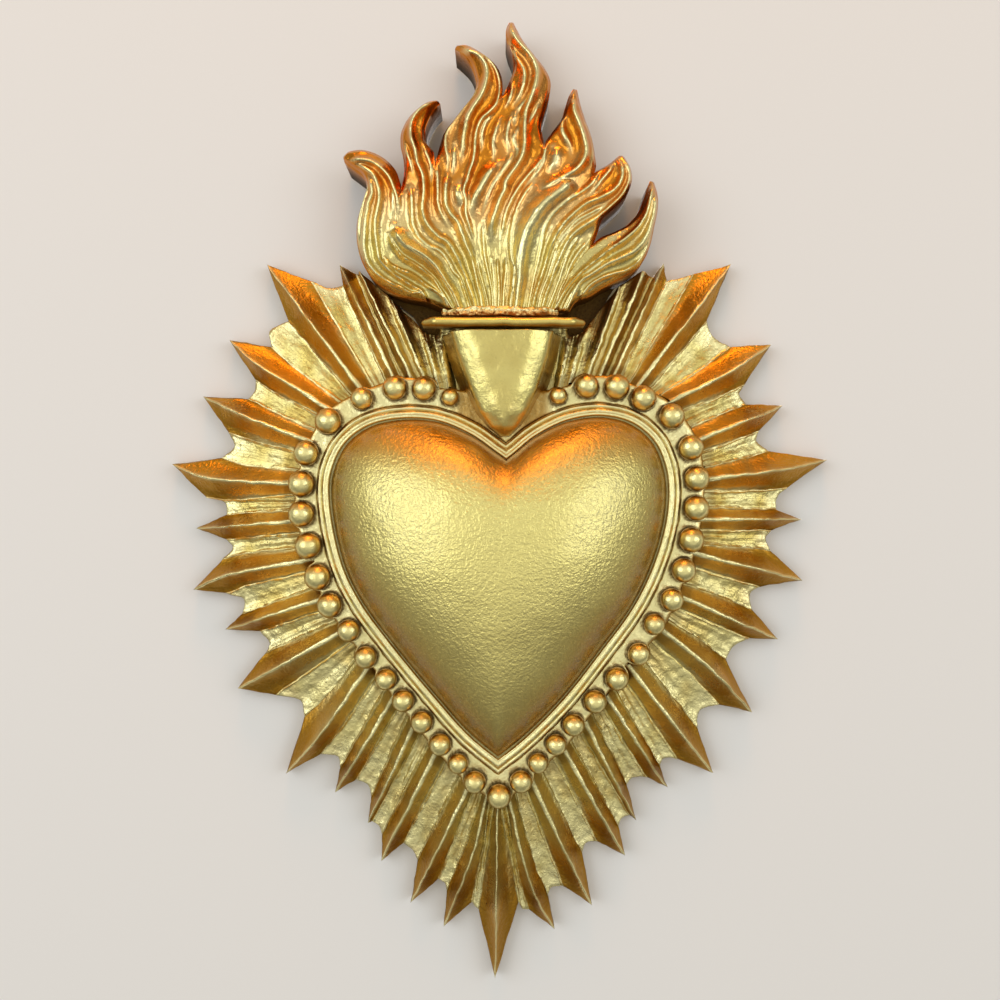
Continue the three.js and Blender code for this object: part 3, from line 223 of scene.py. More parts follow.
# The strands of the flame, each from its tip down: half width, rise, and the line its crest follows.
STRANDS = [
    (0.3, 0.35, [(-27.3, 65.3), (-26.9, 63.4), (-27.5, 61.5), (-28.2, 59.2), (-28.8, 56.9), (-29, 54.5),
     (-29, 52.2), (-28.6, 49.9), (-27.9, 48), (-27, 46.6)]),
    (0.42, 0.85, [(-26.7, 66), (-26.1, 63.9), (-25.9, 62), (-26.6, 60.1), (-27, 58), (-27.3, 56.2),
     (-27.5, 53.4), (-27.6, 51.3), (-27, 48.7), (-25.8, 46.8), (-23.9, 45.2), (-22, 44), (-19.9, 43.1),
     (-18.1, 42.1), (-16.2, 42.1)]),
    (0.42, 0.85, [(-29.5, 68.4), (-27.2, 67.1), (-25.8, 66), (-24.8, 63.9), (-24.4, 61.5), (-24.7, 59.2),
     (-25.2, 56.9), (-25.3, 54.5), (-25.1, 52.2), (-24.8, 50.3), (-24.5, 48.9), (-23.2, 47.3),
     (-21.3, 45.7), (-19.5, 44.5), (-17.6, 43.3), (-16, 42.4)]),
    (0.4, 0.95, [(-30.9, 68.8), (-27.9, 68.9), (-25.8, 68.4), (-23.9, 67.1), (-22.5, 65.5), (-21.6, 63.6),
     (-20.9, 61.5), (-20.7, 59.2), (-20.9, 56.9), (-21.2, 55.2)]),
    (0.95, 1.5, [(-21.3, 55.5), (-20.6, 53.4), (-19.2, 51.7), (-17.4, 50.6), (-15.3, 49.4), (-13.4, 47.8),
     (-12, 45.9), (-10.8, 44), (-9.9, 42.6), (-9, 40.7)]),
    (0.3, 0.45, [(-22.4, 64.6), (-21.8, 62.9), (-21.7, 60.1), (-21.9, 57.3), (-22.3, 55.5)]),
    (0.38, 0.8, [(-22.7, 53.8), (-21.6, 51.7), (-19.9, 49.4), (-17.6, 48), (-15.3, 46.4), (-13.4, 44.7),
     (-12.2, 42.8), (-11.1, 41.2), (-10.4, 40)]),
    (0.34, 0.7, [(-23.5, 49.2), (-22.3, 47.8), (-20.4, 46.8), (-18.5, 46.1), (-16.7, 45), (-14.8, 43.5),
     (-13.2, 42.6), (-11.5, 41.2)]),
    (0.45, 1, [(-13, 80.8), (-14.3, 80.6), (-16.8, 78.9), (-18, 76.4), (-18, 73.5), (-17.2, 71),
     (-16.7, 68.3), (-15.7, 66), (-15.4, 63.4), (-15.5, 61.1), (-15.7, 59.2), (-15.3, 56.9), (-14.1, 55),
     (-12.5, 53.4), (-10.8, 52.4), (-9.7, 51), (-8.7, 49.2), (-7.8, 47.3), (-7.1, 45.7), (-6.2, 43),
     (-5.6, 41.4)]),
    (0.32, 0.55, [(-19.5, 73), (-18.8, 70.2), (-17.9, 67.4), (-17.4, 65.3)]),
    (0.36, 0.75, [(-13.5, 71.3), (-13.2, 68.5), (-12.7, 65.5), (-12.6, 62.7), (-12.5, 60.1), (-11.8, 57.8),
     (-10.4, 55.7), (-9, 54.3)]),
    (0.3, 0.5, [(-15.7, 72.7), (-15, 70.6), (-14.1, 68.5), (-13.9, 65.5), (-14.1, 63.2)]),
    (0.32, 0.6, [(-18.3, 63.4), (-17.9, 61.1), (-17.8, 58.3), (-17.5, 55.5), (-16.2, 53.1), (-14.3, 51.5),
     (-12.5, 50.8), (-10.8, 48.9), (-9.4, 46.4), (-8.2, 45.2), (-7.4, 42.7), (-6.7, 40.5)]),
    (0.55, 1, [(-10.7, 65.9), (-11, 62.8), (-10.9, 59.7), (-10, 57.9), (-8.7, 56.4), (-7.8, 54.2),
     (-6.9, 51.8), (-6, 49.8), (-5.4, 47.4), (-4.7, 44.7), (-4, 41.9)]),
    (0.8, 0.8, [(-8, 64.3), (-8.6, 62.4), (-8.1, 60.6), (-8.2, 58.4)]),
    (0.34, 0.6, [(-5.2, 86.2), (-5.2, 83.3), (-6.6, 81.4), (-8.2, 79.2), (-10.2, 76.3), (-11.1, 74.2),
     (-11.1, 71.8), (-10.6, 69.4), (-10.6, 66.7), (-10.8, 64.6)]),
    (0.6, 1.1, [(-8.5, 92.2), (-6.6, 91.4), (-4.6, 90.7), (-3.4, 89.5), (-2.7, 87.8), (-2.7, 85.9),
     (-3.2, 83.8), (-4.2, 81.6), (-5.6, 79.4), (-6.6, 77.5), (-7, 75.4), (-7.4, 73.2), (-7.5, 71),
     (-7.9, 69.1), (-8.1, 66.7)]),
    (0.42, 0.95, [(-4.6, 91.7), (-2.7, 90.2), (-1.3, 88.6), (-0.3, 86.6), (0.2, 84.5), (-0.1, 82.3),
     (-0.8, 80.4), (-2.2, 78.7), (-3.7, 77.3), (-4.6, 75.4), (-5, 73.2), (-5.1, 71), (-5.4, 68.9),
     (-6.1, 66.7), (-6.6, 65), (-7.3, 62.6), (-6.9, 60.8), (-6.9, 57.9), (-5.8, 54), (-4.9, 51.3)]),
    (0.36, 0.55, [(-9.3, 72.5), (-9.3, 69.8), (-9.4, 67.4), (-9.8, 65)]),
    (0.85, 1.15, [(-0.5, 68.3), (-1.6, 66.8), (-2.9, 65), (-4, 63), (-5, 61.3), (-5.6, 59.3), (-5.6, 57.1),
     (-5.3, 54.9)]),
    (0.6, 1.15, [(2.3, 97.4), (2.3, 96), (3, 94.3), (4.5, 92.4), (5.9, 91), (6.9, 89.3), (7.5, 87.4),
     (7.4, 85.2), (6.9, 83.3), (6.2, 81.4), (5.4, 79.2), (5.1, 77), (5, 74.6), (5, 72.2), (4.5, 69.8),
     (3.5, 67.7), (2.3, 66), (1.1, 64.1), (1, 62.8), (0.1, 61), (-0.7, 58.8), (-1.4, 56.8), (-1.8, 54.9),
     (-1.8, 52.4), (-1.6, 50.2)]),
    (0.5, 0.85, [(1.5, 94.8), (2, 92.9), (2.9, 90.7), (4.1, 89), (4.8, 87.6), (5, 86.2), (4.7, 84.2),
     (4, 82.3), (2.6, 80.2), (1.6, 78.7)]),
    (0.3, 0.5, [(2.3, 85.7), (2.4, 83.3), (1.6, 80.9), (0.4, 79.2)]),
    (0.3, 0.5, [(3.4, 79.9), (3, 77.8), (2.9, 75.6)]),
    (0.3, 0.55, [(-1.3, 78.7), (-3, 76.6), (-3.7, 74.4), (-3.7, 71.8), (-3.9, 69.8)]),
    (0.3, 0.45, [(2.6, 71), (2.1, 69.4), (1.1, 67.7), (-1.2, 64.1), (-2.5, 61.3), (-3.4, 58.6),
     (-3.5, 56.2)]),
    (0.34, 0.6, [(9.6, 73.7), (9.4, 71.8), (8.8, 69.8), (7.4, 67.7), (5.7, 65.8), (4.2, 63.9), (2.8, 61.7),
     (1.7, 59.5), (1, 57.5), (0.6, 55.3), (0.1, 52.4), (0.1, 50.2)]),
    (0.28, 0.5, [(-3.4, 56.8), (-3.4, 54), (-3.2, 50.2), (-2.7, 47.4), (-2.1, 44.7), (-1.6, 41.9)]),
    (0.28, 0.5, [(-4.6, 49.6), (-4.3, 46.9), (-3.6, 44.3), (-2.7, 40.8)]),
    (0.34, 0.65, [(-0.5, 49.6), (-0.5, 46.9), (-0.3, 44.7), (-0.2, 41.9)]),
    (0.4, 0.75, [(1.2, 50), (1.3, 46.5), (1, 43.6), (0.8, 41.6)]),
    (0.26, 0.5, [(7, 64.8), (4.8, 61.7), (3.2, 58.4), (2.5, 55.7), (2.1, 52.4), (2.2, 49.6), (2.6, 46.5),
     (2.2, 43.6)]),
    (0.28, 0.55, [(3.6, 52.9), (3.1, 49.1), (2.8, 45.8), (2.5, 43), (2.1, 41)]),
    (0.26, 0.4, [(-5.4, 49.1), (-5.1, 46.3), (-4.7, 43.4), (-4.5, 41.2)]),
    (0.26, 0.4, [(-1.6, 49.1), (-1.4, 46.3), (-1.2, 43.4), (-1.1, 41.2)]),
    (1.45, 1.8, [(14.8, 65), (12.5, 62.4), (10.3, 60.8), (8.4, 59), (6.6, 56.5), (5.3, 54), (4.7, 51.8),
     (4.2, 49.1), (4, 46.9), (3.9, 44.7), (3.6, 42.5), (3.4, 40.5)]),
    (0.6, 1.15, [(15, 82.5), (15, 79.2), (16.1, 76.4), (17, 73.6), (17.5, 70.8), (16.8, 68.6),
     (15.3, 66.7), (12.8, 65.2), (10.3, 63.9), (8.1, 62.7), (6.9, 61.4)]),
    (0.5, 0.75, [(13.4, 78.9), (12.6, 76.7), (12.6, 75.1), (13.2, 73.6), (14.1, 72), (14.3, 70.5),
     (14.2, 68.9)]),
    (0.85, 0.7, [(10.8, 72), (11.4, 70.5), (11.1, 68.3), (9.7, 66.7), (8.7, 66)]),
    (0.32, 0.55, [(9.7, 73.3), (9, 71.4), (8.9, 68.9), (7.5, 66.4), (5.3, 63.9), (4.1, 62.7)]),
    (0.3, 0.45, [(16.5, 77.9), (18.1, 75.4), (18.9, 73), (18.9, 70.2), (18.4, 68), (17.5, 66.4)]),
    (0.34, 0.65, [(20.1, 66.7), (18.7, 64.2), (16.5, 62.4), (14, 60.8), (11.8, 59), (10.3, 57.4),
     (9, 54.9), (8.4, 51.8), (7.8, 48.7), (6.9, 45.3), (6.2, 41.8)]),
    (0.4, 0.9, [(24, 69.4), (24.8, 66.7), (24.3, 64.2), (22.7, 62.4), (20.3, 61.1), (17.5, 59.9), (15, 58),
     (12.8, 55.8), (11.2, 53.3), (10, 50.5), (9, 47.4), (8.1, 44.6), (7.2, 41.8)]),
    (0.32, 0.6, [(23.4, 68.8), (22.1, 66.7), (20.6, 64.9), (18.7, 62.4), (16.5, 60.8)]),
    (0.45, 0.9, [(24.9, 69.5), (26.1, 67.4), (26.4, 65.5), (26, 63.9), (24.6, 61.4), (22.1, 59),
     (19.6, 57.1), (17.5, 55.8), (15, 54), (13.4, 51.8), (12.2, 49.3), (11.2, 46.8), (10.3, 44),
     (9.4, 41.8)]),
    (0.28, 0.5, [(21.5, 59.9), (18.7, 58.3), (15.9, 56.8), (13.7, 54.6), (11.8, 51.8), (10.8, 48.7),
     (9.7, 45.3), (8.7, 42.8)]),
    (0.28, 0.5, [(16.5, 54.3), (14.7, 51.8), (13.4, 49), (12.5, 46.2), (11.5, 43.4), (10.8, 41.5)]),
    (0.42, 0.95, [(30.9, 64.7), (30.5, 61.8), (29.6, 58), (28, 55.2), (25.2, 52.7), (22.4, 50.9),
     (19.9, 49), (17.5, 47.1), (15.6, 45.3), (13.7, 43.1), (12.5, 41.2)]),
    (0.6, 1.05, [(31.3, 62.4), (31.4, 59.6), (31.1, 57.4), (30.5, 55.5), (29.3, 52.7), (27.1, 50.5),
     (24.3, 49), (21.5, 47.7), (18.7, 45.9), (16.5, 44.3), (15, 41.8)]),
    (0.4, 0.7, [(30.8, 54.6), (29.9, 51.2), (28.3, 48.7), (25.9, 46.8), (22.7, 45.9), (20.3, 44.9),
     (17.8, 43.1)]),
    (0.26, 0.45, [(22.4, 49), (19.6, 47.7), (17.5, 45.9), (15.9, 44), (14.3, 41.5)]),
    (0.3, 0.5, [(18.1, 52.7), (16.2, 50.5), (14.7, 48.1), (13.4, 45.3), (12.2, 42.8)]),
    (0.24, 0.35, [(6.3, 83.8), (5.5, 81.8), (3.9, 79.7), (3.3, 77.3)]),
    (0.26, 0.45, [(7.3, 83), (6.3, 80.5), (5.1, 78.7), (4.3, 76.5), (4.7, 74.2)]),
    (0.26, 0.45, [(8.1, 81.4), (7.1, 78.9), (6.1, 76.9), (5.5, 74.2), (5.9, 71.6)]),
    (0.26, 0.45, [(2.6, 78.9), (1.8, 76.5), (1.4, 74), (1.8, 71.2), (1.4, 68.7)]),
    (0.26, 0.4, [(3.9, 75.7), (2.8, 73.6), (3.5, 71.2), (3.1, 68.5), (2.2, 66.1)]),
    (0.28, 0.45, [(0, 77.7), (-0.8, 75.3), (-1.4, 72.8), (-1.2, 70), (-2, 67.5)]),
]

# Section of the double roll round the heart: share of its width from the outside, and rise.
RIM_WIDTH = 2.8
RIM_SECTION = [
    (0, 0.1), (0.03, 0.6), (0.07, 1.05), (0.13, 1.45), (0.21, 1.6), (0.29, 1.56), (0.34, 1.48),
    (0.39, 1.6), (0.46, 1.88), (0.54, 2.1), (0.62, 2.2), (0.7, 2.17), (0.76, 2.07), (0.8, 2.03),
    (0.85, 2.12), (0.9, 2.08), (0.95, 1.85), (0.98, 1.6), (1, 1.4),
]


def srgb(text):
    """Turns a hex colour as painted into the linear colour that a shader takes."""
    parts = [int(text[i:i + 2], 16) / 255 for i in (1, 3, 5)]
    return tuple(c / 12.92 if c <= 0.04045 else ((c + 0.055) / 1.055) ** 2.4 for c in parts) + (1.0,)


def size_of(name, description, default, low, high):
    """A size in mm that a user may change."""
    return bpy.props.FloatProperty(name=name, description=description, default=default, min=low, max=high)


def paint_of(name, description, colour):
    """A colour of the paint that a user may change."""
    return bpy.props.FloatVectorProperty(name=name, description=description, subtype="COLOR", size=4,
                                         min=0.0, max=1.0, default=srgb(colour))


class ExvotoSettings(bpy.types.PropertyGroup):
    """Sizes of the carving and colours of the gilding that a user would change."""

    crest_swell: size_of("Crest swell", "How far a ray's crest bows forward of a straight line, in mm",
                         1.3, 0.0, 3.0)
    crest_bead: size_of("Crest bead", "Half width of the round bead left along the crest of a ray, in mm",
                        0.48, 0.05, 0.8)
    foot_line: size_of("Foot line", "Height of the rough line left at the foot of a slope, in mm",
                       0.26, 0.0, 0.6)
    strand_rise: size_of("Strand rise", "Height of a bold strand of the flame above its valley, in mm",
                         2.0, 0.2, 3.0)
    bead_wobble: size_of("Bead wobble", "How far a hand-laid bead strays from a ball, in mm", 0.14, 0.0, 0.4)
    wire_turns: bpy.props.IntProperty(
        name="Wire facets", description="Faces round the wire of the hanger", default=24, min=8, max=64)
    pale_gold: paint_of("Pale gold", "Gold paint on the rays, the rolls, the bed and the flame", "#ece3a8")
    warm_gold: paint_of("Warm gold", "Gold paint on the heart, the cup and the collar, and in clouds on all",
                        "#dccf7c")
    # Copper is thin paint on the slopes, and it is also painted shade there, laid on slopes that turn away
    # from the front.
    copper: paint_of("Copper", "Thin copper-brown paint on steep slopes", "#bb8828")
    # Amber is painted warm light from above, laid on slopes that face up.
    amber: paint_of("Amber", "Orange gold on slopes that face up", "#eba11e")
    olive: paint_of("Olive", "Thicker greenish gold paint on the webs and round the foot of the flame",
                    "#c6b566")
    # Umber is a dark wash, and it is also painted shade in hollows, creases and under edges.
    umber: paint_of("Umber", "Dark wash that stays in the hollows", "#46300f")


def settings():
    """The values that the user has set, or their defaults."""
    return bpy.context.scene.exvoto


# Drawing helpers.


def curve_through(points, closed=False, count=200):
    """Evenly numbered points along a smooth curve through the given ones."""
    given = np.array(points, float)
    size = len(given)
    runs = size if closed else size - 1
    places = np.linspace(0, runs, count, endpoint=not closed)
    whole = np.minimum(places.astype(int), runs - 1)
    part = (places - whole)[:, None]
    if closed:
        p0, p1, p2, p3 = (given[(whole + step) % size] for step in (-1, 0, 1, 2))
    else:
        padded = np.vstack([2 * given[0] - given[1], given, 2 * given[-1] - given[-2]])
        p0, p1, p2, p3 = (padded[whole + step] for step in (0, 1, 2, 3))
    gaps = [np.maximum(np.linalg.norm(b - a, axis=1), 1e-6)[:, None] ** 0.5
            for a, b in ((p0, p1), (p1, p2), (p2, p3))]
    t1 = ((p1 - p0) / gaps[0] - (p2 - p0) / (gaps[0] + gaps[1]) + (p2 - p1) / gaps[1]) * gaps[1]
    t2 = ((p2 - p1) / gaps[1] - (p3 - p1) / (gaps[1] + gaps[2]) + (p3 - p2) / gaps[2]) * gaps[1]
    cubic = 2 * p1 - 2 * p2 + t1 + t2
    square = -3 * p1 + 3 * p2 - 2 * t1 - t2
    return p1 + t1 * part + square * part ** 2 + cubic * part ** 3


def length_of(points):
    """Length of a run of points."""
    return np.linalg.norm(np.diff(points, axis=0), axis=1).sum()


def even(points, shares):
    """Places along a run of points at the given shares of its length."""
    steps = np.linalg.norm(np.diff(points, axis=0), axis=1)
    walked = np.concatenate([[0], np.cumsum(steps)])
    walked /= walked[-1]
    return np.stack([np.interp(shares, walked, points[:, k]) for k in range(points.shape[1])], axis=-1)


def smooth(low, high, value):
    """Share from 0 to 1 that eases in at low and out at high."""
    share = np.clip((value - low) / (high - low), 0, 1)
    return share * share * (3 - 2 * share)


def ripple(across, up, size, seed):
    """Smooth chance unevenness from -1 to 1, with lumps of the given size in mm."""
    lattice = np.random.default_rng(seed).uniform(-1, 1, (64, 64))
    x, y = np.asarray(across) / size + 31.7, np.asarray(up) / size + 57.3
    i, j = np.floor(x).astype(int), np.floor(y).astype(int)
    u, v = smooth(0, 1, x - i), smooth(0, 1, y - j)
    near = lattice[i % 64, j % 64] * (1 - u) + lattice[(i + 1) % 64, j % 64] * u
    far = lattice[i % 64, (j + 1) % 64] * (1 - u) + lattice[(i + 1) % 64, (j + 1) % 64] * u
    return near * (1 - v) + far * v


def lumps(places, *layers):
    """Sum of ripples over the places, each layer given as height, size and seed."""
    return sum(height * ripple(places[..., 0], places[..., 1], size, seed) for height, size, seed in layers)


def bell(distance, reach):
    """Falls from 1 to 0 with distance, to about a third at reach."""
    return np.exp(-(distance / reach) ** 2)


def inside(loop, points):
    """Which of the points lie inside a closed loop."""
    result = np.zeros(len(points), bool)
    x, y = points[:, 0], points[:, 1]
    for (ax, ay), (bx, by) in zip(loop, np.roll(loop, -1, axis=0)):
        if ay == by:
            continue
        crosses = ((ay > y) != (by > y)) & (x < (bx - ax) * (y - ay) / (by - ay) + ax)
        result ^= crosses
    return result


def grid_faces(rows, columns, wrap=False):
    """The quads of a grid of points stored row by row."""
    r = np.arange(rows - 1)[:, None] * columns
    c = np.arange(columns if wrap else columns - 1)[None, :]
    d = (c + 1) % columns
    return np.stack([r + c, r + d, r + d + columns, r + c + columns], axis=-1).reshape(-1, 4)


def ring_faces(rows, columns):
    """The quads that join a grid's first row to its last, all the way round."""
    last = (rows - 1) * columns
    return [(i, (i + 1) % columns, last + (i + 1) % columns, last + i) for i in range(columns)]


def under_faces(rows, columns):
    """The quads that join the two ends of every row of a grid."""
    return [(r * columns, (r + 1) * columns - 1, (r + 2) * columns - 1, (r + 1) * columns)
            for r in range(rows - 1)]


def end_face(row, columns):
    """One face over a whole row of a grid."""
    return [tuple(range(row * columns, (row + 1) * columns))]


def level(loop, depth):
    """Points of a loop, or of several side by side, at one depth."""
    return np.concatenate([loop, np.full((*loop.shape[:-1], 1), depth)], axis=-1)


def sheet(loops, depth):
    """A flat sheet at one depth inside the first loop, with a hole for each of the others."""
    flat = np.vstack(loops)
    edges, base = [], 0
    for loop in loops:
        edges += [(base + i, base + (i + 1) % len(loop)) for i in range(len(loop))]
        base += len(loop)
    points, _, faces, *_ = delaunay_2d_cdt([tuple(p) for p in flat], edges, [], 0, 1e-6, False)
    points = np.array([tuple(p) for p in points])
    faces = np.array(faces)
    middles = points[faces].mean(axis=1)
    keep = inside(loops[0], middles)
    for hole in loops[1:]:
        keep &= ~inside(hole, middles)
    return level(points, depth), faces[keep]


def wall(loop, near, far):
    """A straight wall round a closed loop, from one depth to another."""
    return np.vstack([level(loop, near), level(loop, far)]), grid_faces(2, len(loop), wrap=True)


class Shell:
    """Points and faces of a piece as they are gathered, with the values painted on its points."""

    def __init__(self):
        self.points, self.faces, self.values, self.size = [], [], {}, 0

    def add(self, points, faces, **values):
        """Adds points, groups of faces on them, and values for the points."""
        points = np.asarray(points, float).reshape(-1, 3)
        for key, value in values.items():
            self.values.setdefault(key, []).append((self.size, np.asarray(value, float)))
        self.faces.extend((np.asarray(face_group) + self.size).tolist() for face_group in faces)
        self.points.append(points)
        self.size += len(points)

    def make(self, name, crease=50):
        """The finished piece, welded, turned outwards and shaded smooth but for its creases."""
        points = np.vstack(self.points)
        world = np.column_stack([points[:, 0], -points[:, 2], points[:, 1]]) / 1000
        faces = [face for face_group in self.faces for face in face_group]
        mesh = bpy.data.meshes.new(name)
        mesh.from_pydata(world.tolist(), [], faces)
        for key, parts in self.values.items():
            wide = max(part.ndim for _, part in parts) > 1
            kind = "FLOAT_VECTOR" if wide else "FLOAT"
            painted = np.zeros((self.size, 3) if wide else self.size, np.float32)
            for start, part in parts:
                painted[start:start + len(part)] = part
            layer = mesh.attributes.new(key, kind, "POINT")
            layer.data.foreach_set("vector" if wide else "value", painted.ravel())
        work = bmesh.new()
        work.from_mesh(mesh)
        bmesh.ops.remove_doubles(work, verts=work.verts, dist=2e-6)
        bmesh.ops.recalc_face_normals(work, faces=work.faces)
        work.to_mesh(mesh)
        work.free()
        mesh.shade_smooth()
        mesh.set_sharp_from_angle(angle=math.radians(crease))
        made = bpy.data.objects.new(name, mesh)
        bpy.context.scene.collection.objects.link(made)
        return made


def settle(piece, material, nodes, body="plaque"):
    """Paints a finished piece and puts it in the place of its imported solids."""
    if material is not None:
        piece.data.materials.clear()
        piece.data.materials.append(material)
    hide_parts(*nodes)
    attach(piece, body)


# Materials.


def add(tree, kind, links=None, **values):
    """Adds a node, sets its own values and fills its inputs. A node as input is linked by its first output."""
    made = tree.nodes.new(kind)
    for key, value in values.items():
        setattr(made, key, value)
    for key, value in (links or {}).items():
        if isinstance(value, bpy.types.Node):
            value = value.outputs[0]
        if isinstance(value, bpy.types.NodeSocket):
            tree.links.new(value, made.inputs[key])
        else:
            made.inputs[key].default_value = value
    return made


def per_mm(size):
    """Scale of a pattern in object metres whose lumps are the given number of mm."""
    return 1000 / size


def new_material(name):
    """A material without nodes, and its tree."""
    material = bpy.data.materials.new(name)
    material.use_nodes = True
    material.node_tree.nodes.clear()
    return material, material.node_tree


def gilding(name, base, rough=0.36, peel=0.8, peel_height=0.05, grain_height=0.03, slope=(-0.93, -0.45),
            slope_share=0.75, amber_share=0.6, tone_share=0.55, under_share=0.0, mottle=0.3, wash_and_shade=None,
            coat=0.06, streaks=0.0):
    """Gold bronze paint sprayed on cast resin. Copper on its slopes and umber in its hollows are partly paint
    and partly painted shade, and amber on slopes that face up is painted warm light.
    """
    chosen = settings()
    material, tree = new_material(name)
    place = add(tree, "ShaderNodeTexCoord")
    turned = add(tree, "ShaderNodeSeparateXYZ", {0: place.outputs["Normal"]})
    tone, hollow, olive = (add(tree, "ShaderNodeAttribute", attribute_name=key).outputs["Fac"]
                           for key in ("tone", "hollow", "olive"))
    # Clouds of thicker and thinner paint, mottling of the casting under it, the orange peel of a sprayed
    # coat and the fine grit of the casting: size in mm, detail and roughness of each.
    clouds, specks, orange_peel, grit = (
        add(tree, "ShaderNodeTexNoise", {"Vector": place.outputs["Object"], "Scale": per_mm(size),
                                         "Detail": detail, "Roughness": uneven})
        for size, detail, uneven in ((7, 3.0, 0.6), (0.6, 2.5, 0.7), (peel, 1.5, 0.5), (0.35, 2.0, 0.65)))
    # Pinholes that air left in the casting, some 9 mm apart and 0.35 mm wide.
    pores = add(tree, "ShaderNodeTexVoronoi", {"Vector": place.outputs["Object"], "Scale": per_mm(9)})
    # What is read from the patterns: the range taken, and the values that it gives.
    cloud, speck, fleck, pore, worn = (
        add(tree, "ShaderNodeMapRange", dict(enumerate(row))) for row in (
            (clouds, 0.35, 0.7, 0.0, 0.3), (specks, 0.55, 0.78, 0.0, 0.3),
            (specks, 0.34, 0.44, 1 - mottle, 1.0), (pores, 0.012, 0.024, 0.9, 0.0),
            (clouds, 0.3, 0.7, rough - 0.04, rough + 0.06)))
    # What is read from the way a place faces is painted light: copper stands for shade where it turns away
    # from the front and where it faces down, and amber stands for warm light from above where it faces up.
    away, upward, under = (
        add(tree, "ShaderNodeMapRange", dict(enumerate(row)), interpolation_type="SMOOTHSTEP") for row in (
            (turned.outputs["Y"], *slope, 0.0, slope_share),
            (turned.outputs["Z"], 0.15, 0.65, 0.0, amber_share),
            (turned.outputs["Z"], 0.0, -0.6, 0.0, under_share)))
    summed = {"operation": "MULTIPLY_ADD", "use_clamp": True}
    # Copper comes from the tone on the points and from the facing, as thin paint and painted shade together.
    copper = add(tree, "ShaderNodeMath", {0: tone, 1: tone_share, 2: away}, **summed)
    copper = add(tree, "ShaderNodeMath", {0: under, 1: 1.0, 2: copper}, **summed)
    copper = add(tree, "ShaderNodeMath", {0: copper, 1: fleck}, operation="MULTIPLY")
    # Umber comes from fine specks and from the umber wash and painted shade that the points carry.
    dark = add(tree, "ShaderNodeMath", {0: speck, 1: 0.5, 2: hollow}, **summed)
    dark = add(tree, "ShaderNodeMath", {0: dark, 1: pore}, operation="MAXIMUM")
    colour = base
    for share, tint in ((cloud, chosen.warm_gold), (olive, chosen.olive), (copper, wash_and_shade or chosen.copper),
                        (upward, chosen.amber), (dark, chosen.umber)):
        mix = add(tree, "ShaderNodeMix", {0: share, 6: colour, 7: tint}, data_type="RGBA")
        colour = mix.outputs[2]
    layers = [(orange_peel, peel_height), (grit, grain_height)]
    if streaks:
        # Tool marks that run along the carving, about 0.4 mm apart and 6 mm long.
        run = add(tree, "ShaderNodeAttribute", attribute_name="carve").outputs["Vector"]
        drawn = add(tree, "ShaderNodeMapping", {"Vector": run, "Scale": (2.4, 0.16, 1.0)})
        marks = add(tree, "ShaderNodeTexNoise", {"Vector": drawn, "Scale": 1.0, "Detail": 3.0,
                                                 "Roughness": 0.6})
        layers.append((marks, streaks))
    relief = {}
    for pattern, height in layers:
        relief = {"Normal": add(tree, "ShaderNodeBump", {"Height": pattern, "Strength": 1.0,
                                                         "Distance": height / 1000, **relief})}
    # The umber wash and the painted shade are matt.
    matt = add(tree, "ShaderNodeMath", {0: dark, 1: 0.35, 2: worn}, **summed)
    paint = add(tree, "ShaderNodeBsdfPrincipled", {
        "Base Color": colour, "Metallic": 1.0, "Roughness": matt, "Coat Weight": coat,
        "Coat Roughness": 0.24, **relief})
    add(tree, "ShaderNodeOutputMaterial", {"Surface": paint})
    return material


def drawn_steel_wire():
    """Bright steel wire drawn through a die: fine lines along it and a hard shine."""
    material, tree = new_material("Drawn_steel_wire")
    place = add(tree, "ShaderNodeTexCoord")
    # Die lines about 0.15 mm apart, drawn coarser than real so that they show.
    lines = add(tree, "ShaderNodeTexNoise", {"Vector": place.outputs["Object"], "Scale": per_mm(0.15),
                                             "Detail": 2.0})
    worn = add(tree, "ShaderNodeMapRange", {0: lines, 1: 0.3, 2: 0.7, 3: 0.2, 4: 0.38})
    shade = add(tree, "ShaderNodeMix", {0: lines, 6: srgb("#8f9193"), 7: srgb("#c9cbcc")}, data_type="RGBA")
    bump = add(tree, "ShaderNodeBump", {"Height": lines, "Strength": 1.0, "Distance": 0.00001})
    metal = add(tree, "ShaderNodeBsdfPrincipled", {
        "Base Color": shade.outputs[2], "Metallic": 1.0, "Roughness": worn, "Normal": bump})
    add(tree, "ShaderNodeOutputMaterial", {"Surface": metal})
    return material


# The ray plate.


ROOTS = [ray["root"] for ray in RAYS] + [root for root, _ in THROAT]


def bed_curve(count=1200):
    """The line on the bed of the beads where every ray is rooted."""
    return curve_through(ROOTS, closed=True, count=count)


# How much of its crest's bow the foot of a slope takes over, and in how many steps a scallop is carved.
FOOT_BOW = 0.5
SCALLOP_STEPS = 8


class Line:
    """One line that the plate is carved along, from the bed to the edge."""

    def __init__(self, kind, root, end, root_depth, end_depth, via=(), swell=0.0, follow=None, tint=1.0):
        self.kind, self.swell, self.follow, self.tint = kind, swell, follow, tint
        self.root_depth, self.end_depth = root_depth, end_depth
        self.root, self.end = np.array(root, float), np.array(end, float)
        self.path = curve_through([root, *via, end], count=120) if via else np.array([root, end], float)
        self.length = np.linalg.norm(self.end - self.root)

    def at(self, shares):
        """Places on the line, carried straight on where a share is below 0."""
        on = np.clip(shares, 0, 1)
        placed = even(self.path, on)
        if self.follow is not None:
            crest = self.follow
            bow = crest.at(on) - (crest.root + (crest.end - crest.root) * on[:, None])
            placed = placed + bow * FOOT_BOW
        start = self.path[1] - self.path[0]
        start = start / np.linalg.norm(start) * self.length
        return placed + np.minimum(shares, 0)[:, None] * start

    def depth(self, shares):
        """Depths along the line, bowed forward by its swell."""
        bow = np.sin(np.pi * np.clip(shares, 0, 1) ** 1.25)
        return self.root_depth + (self.end_depth - self.root_depth) * shares + self.swell * bow


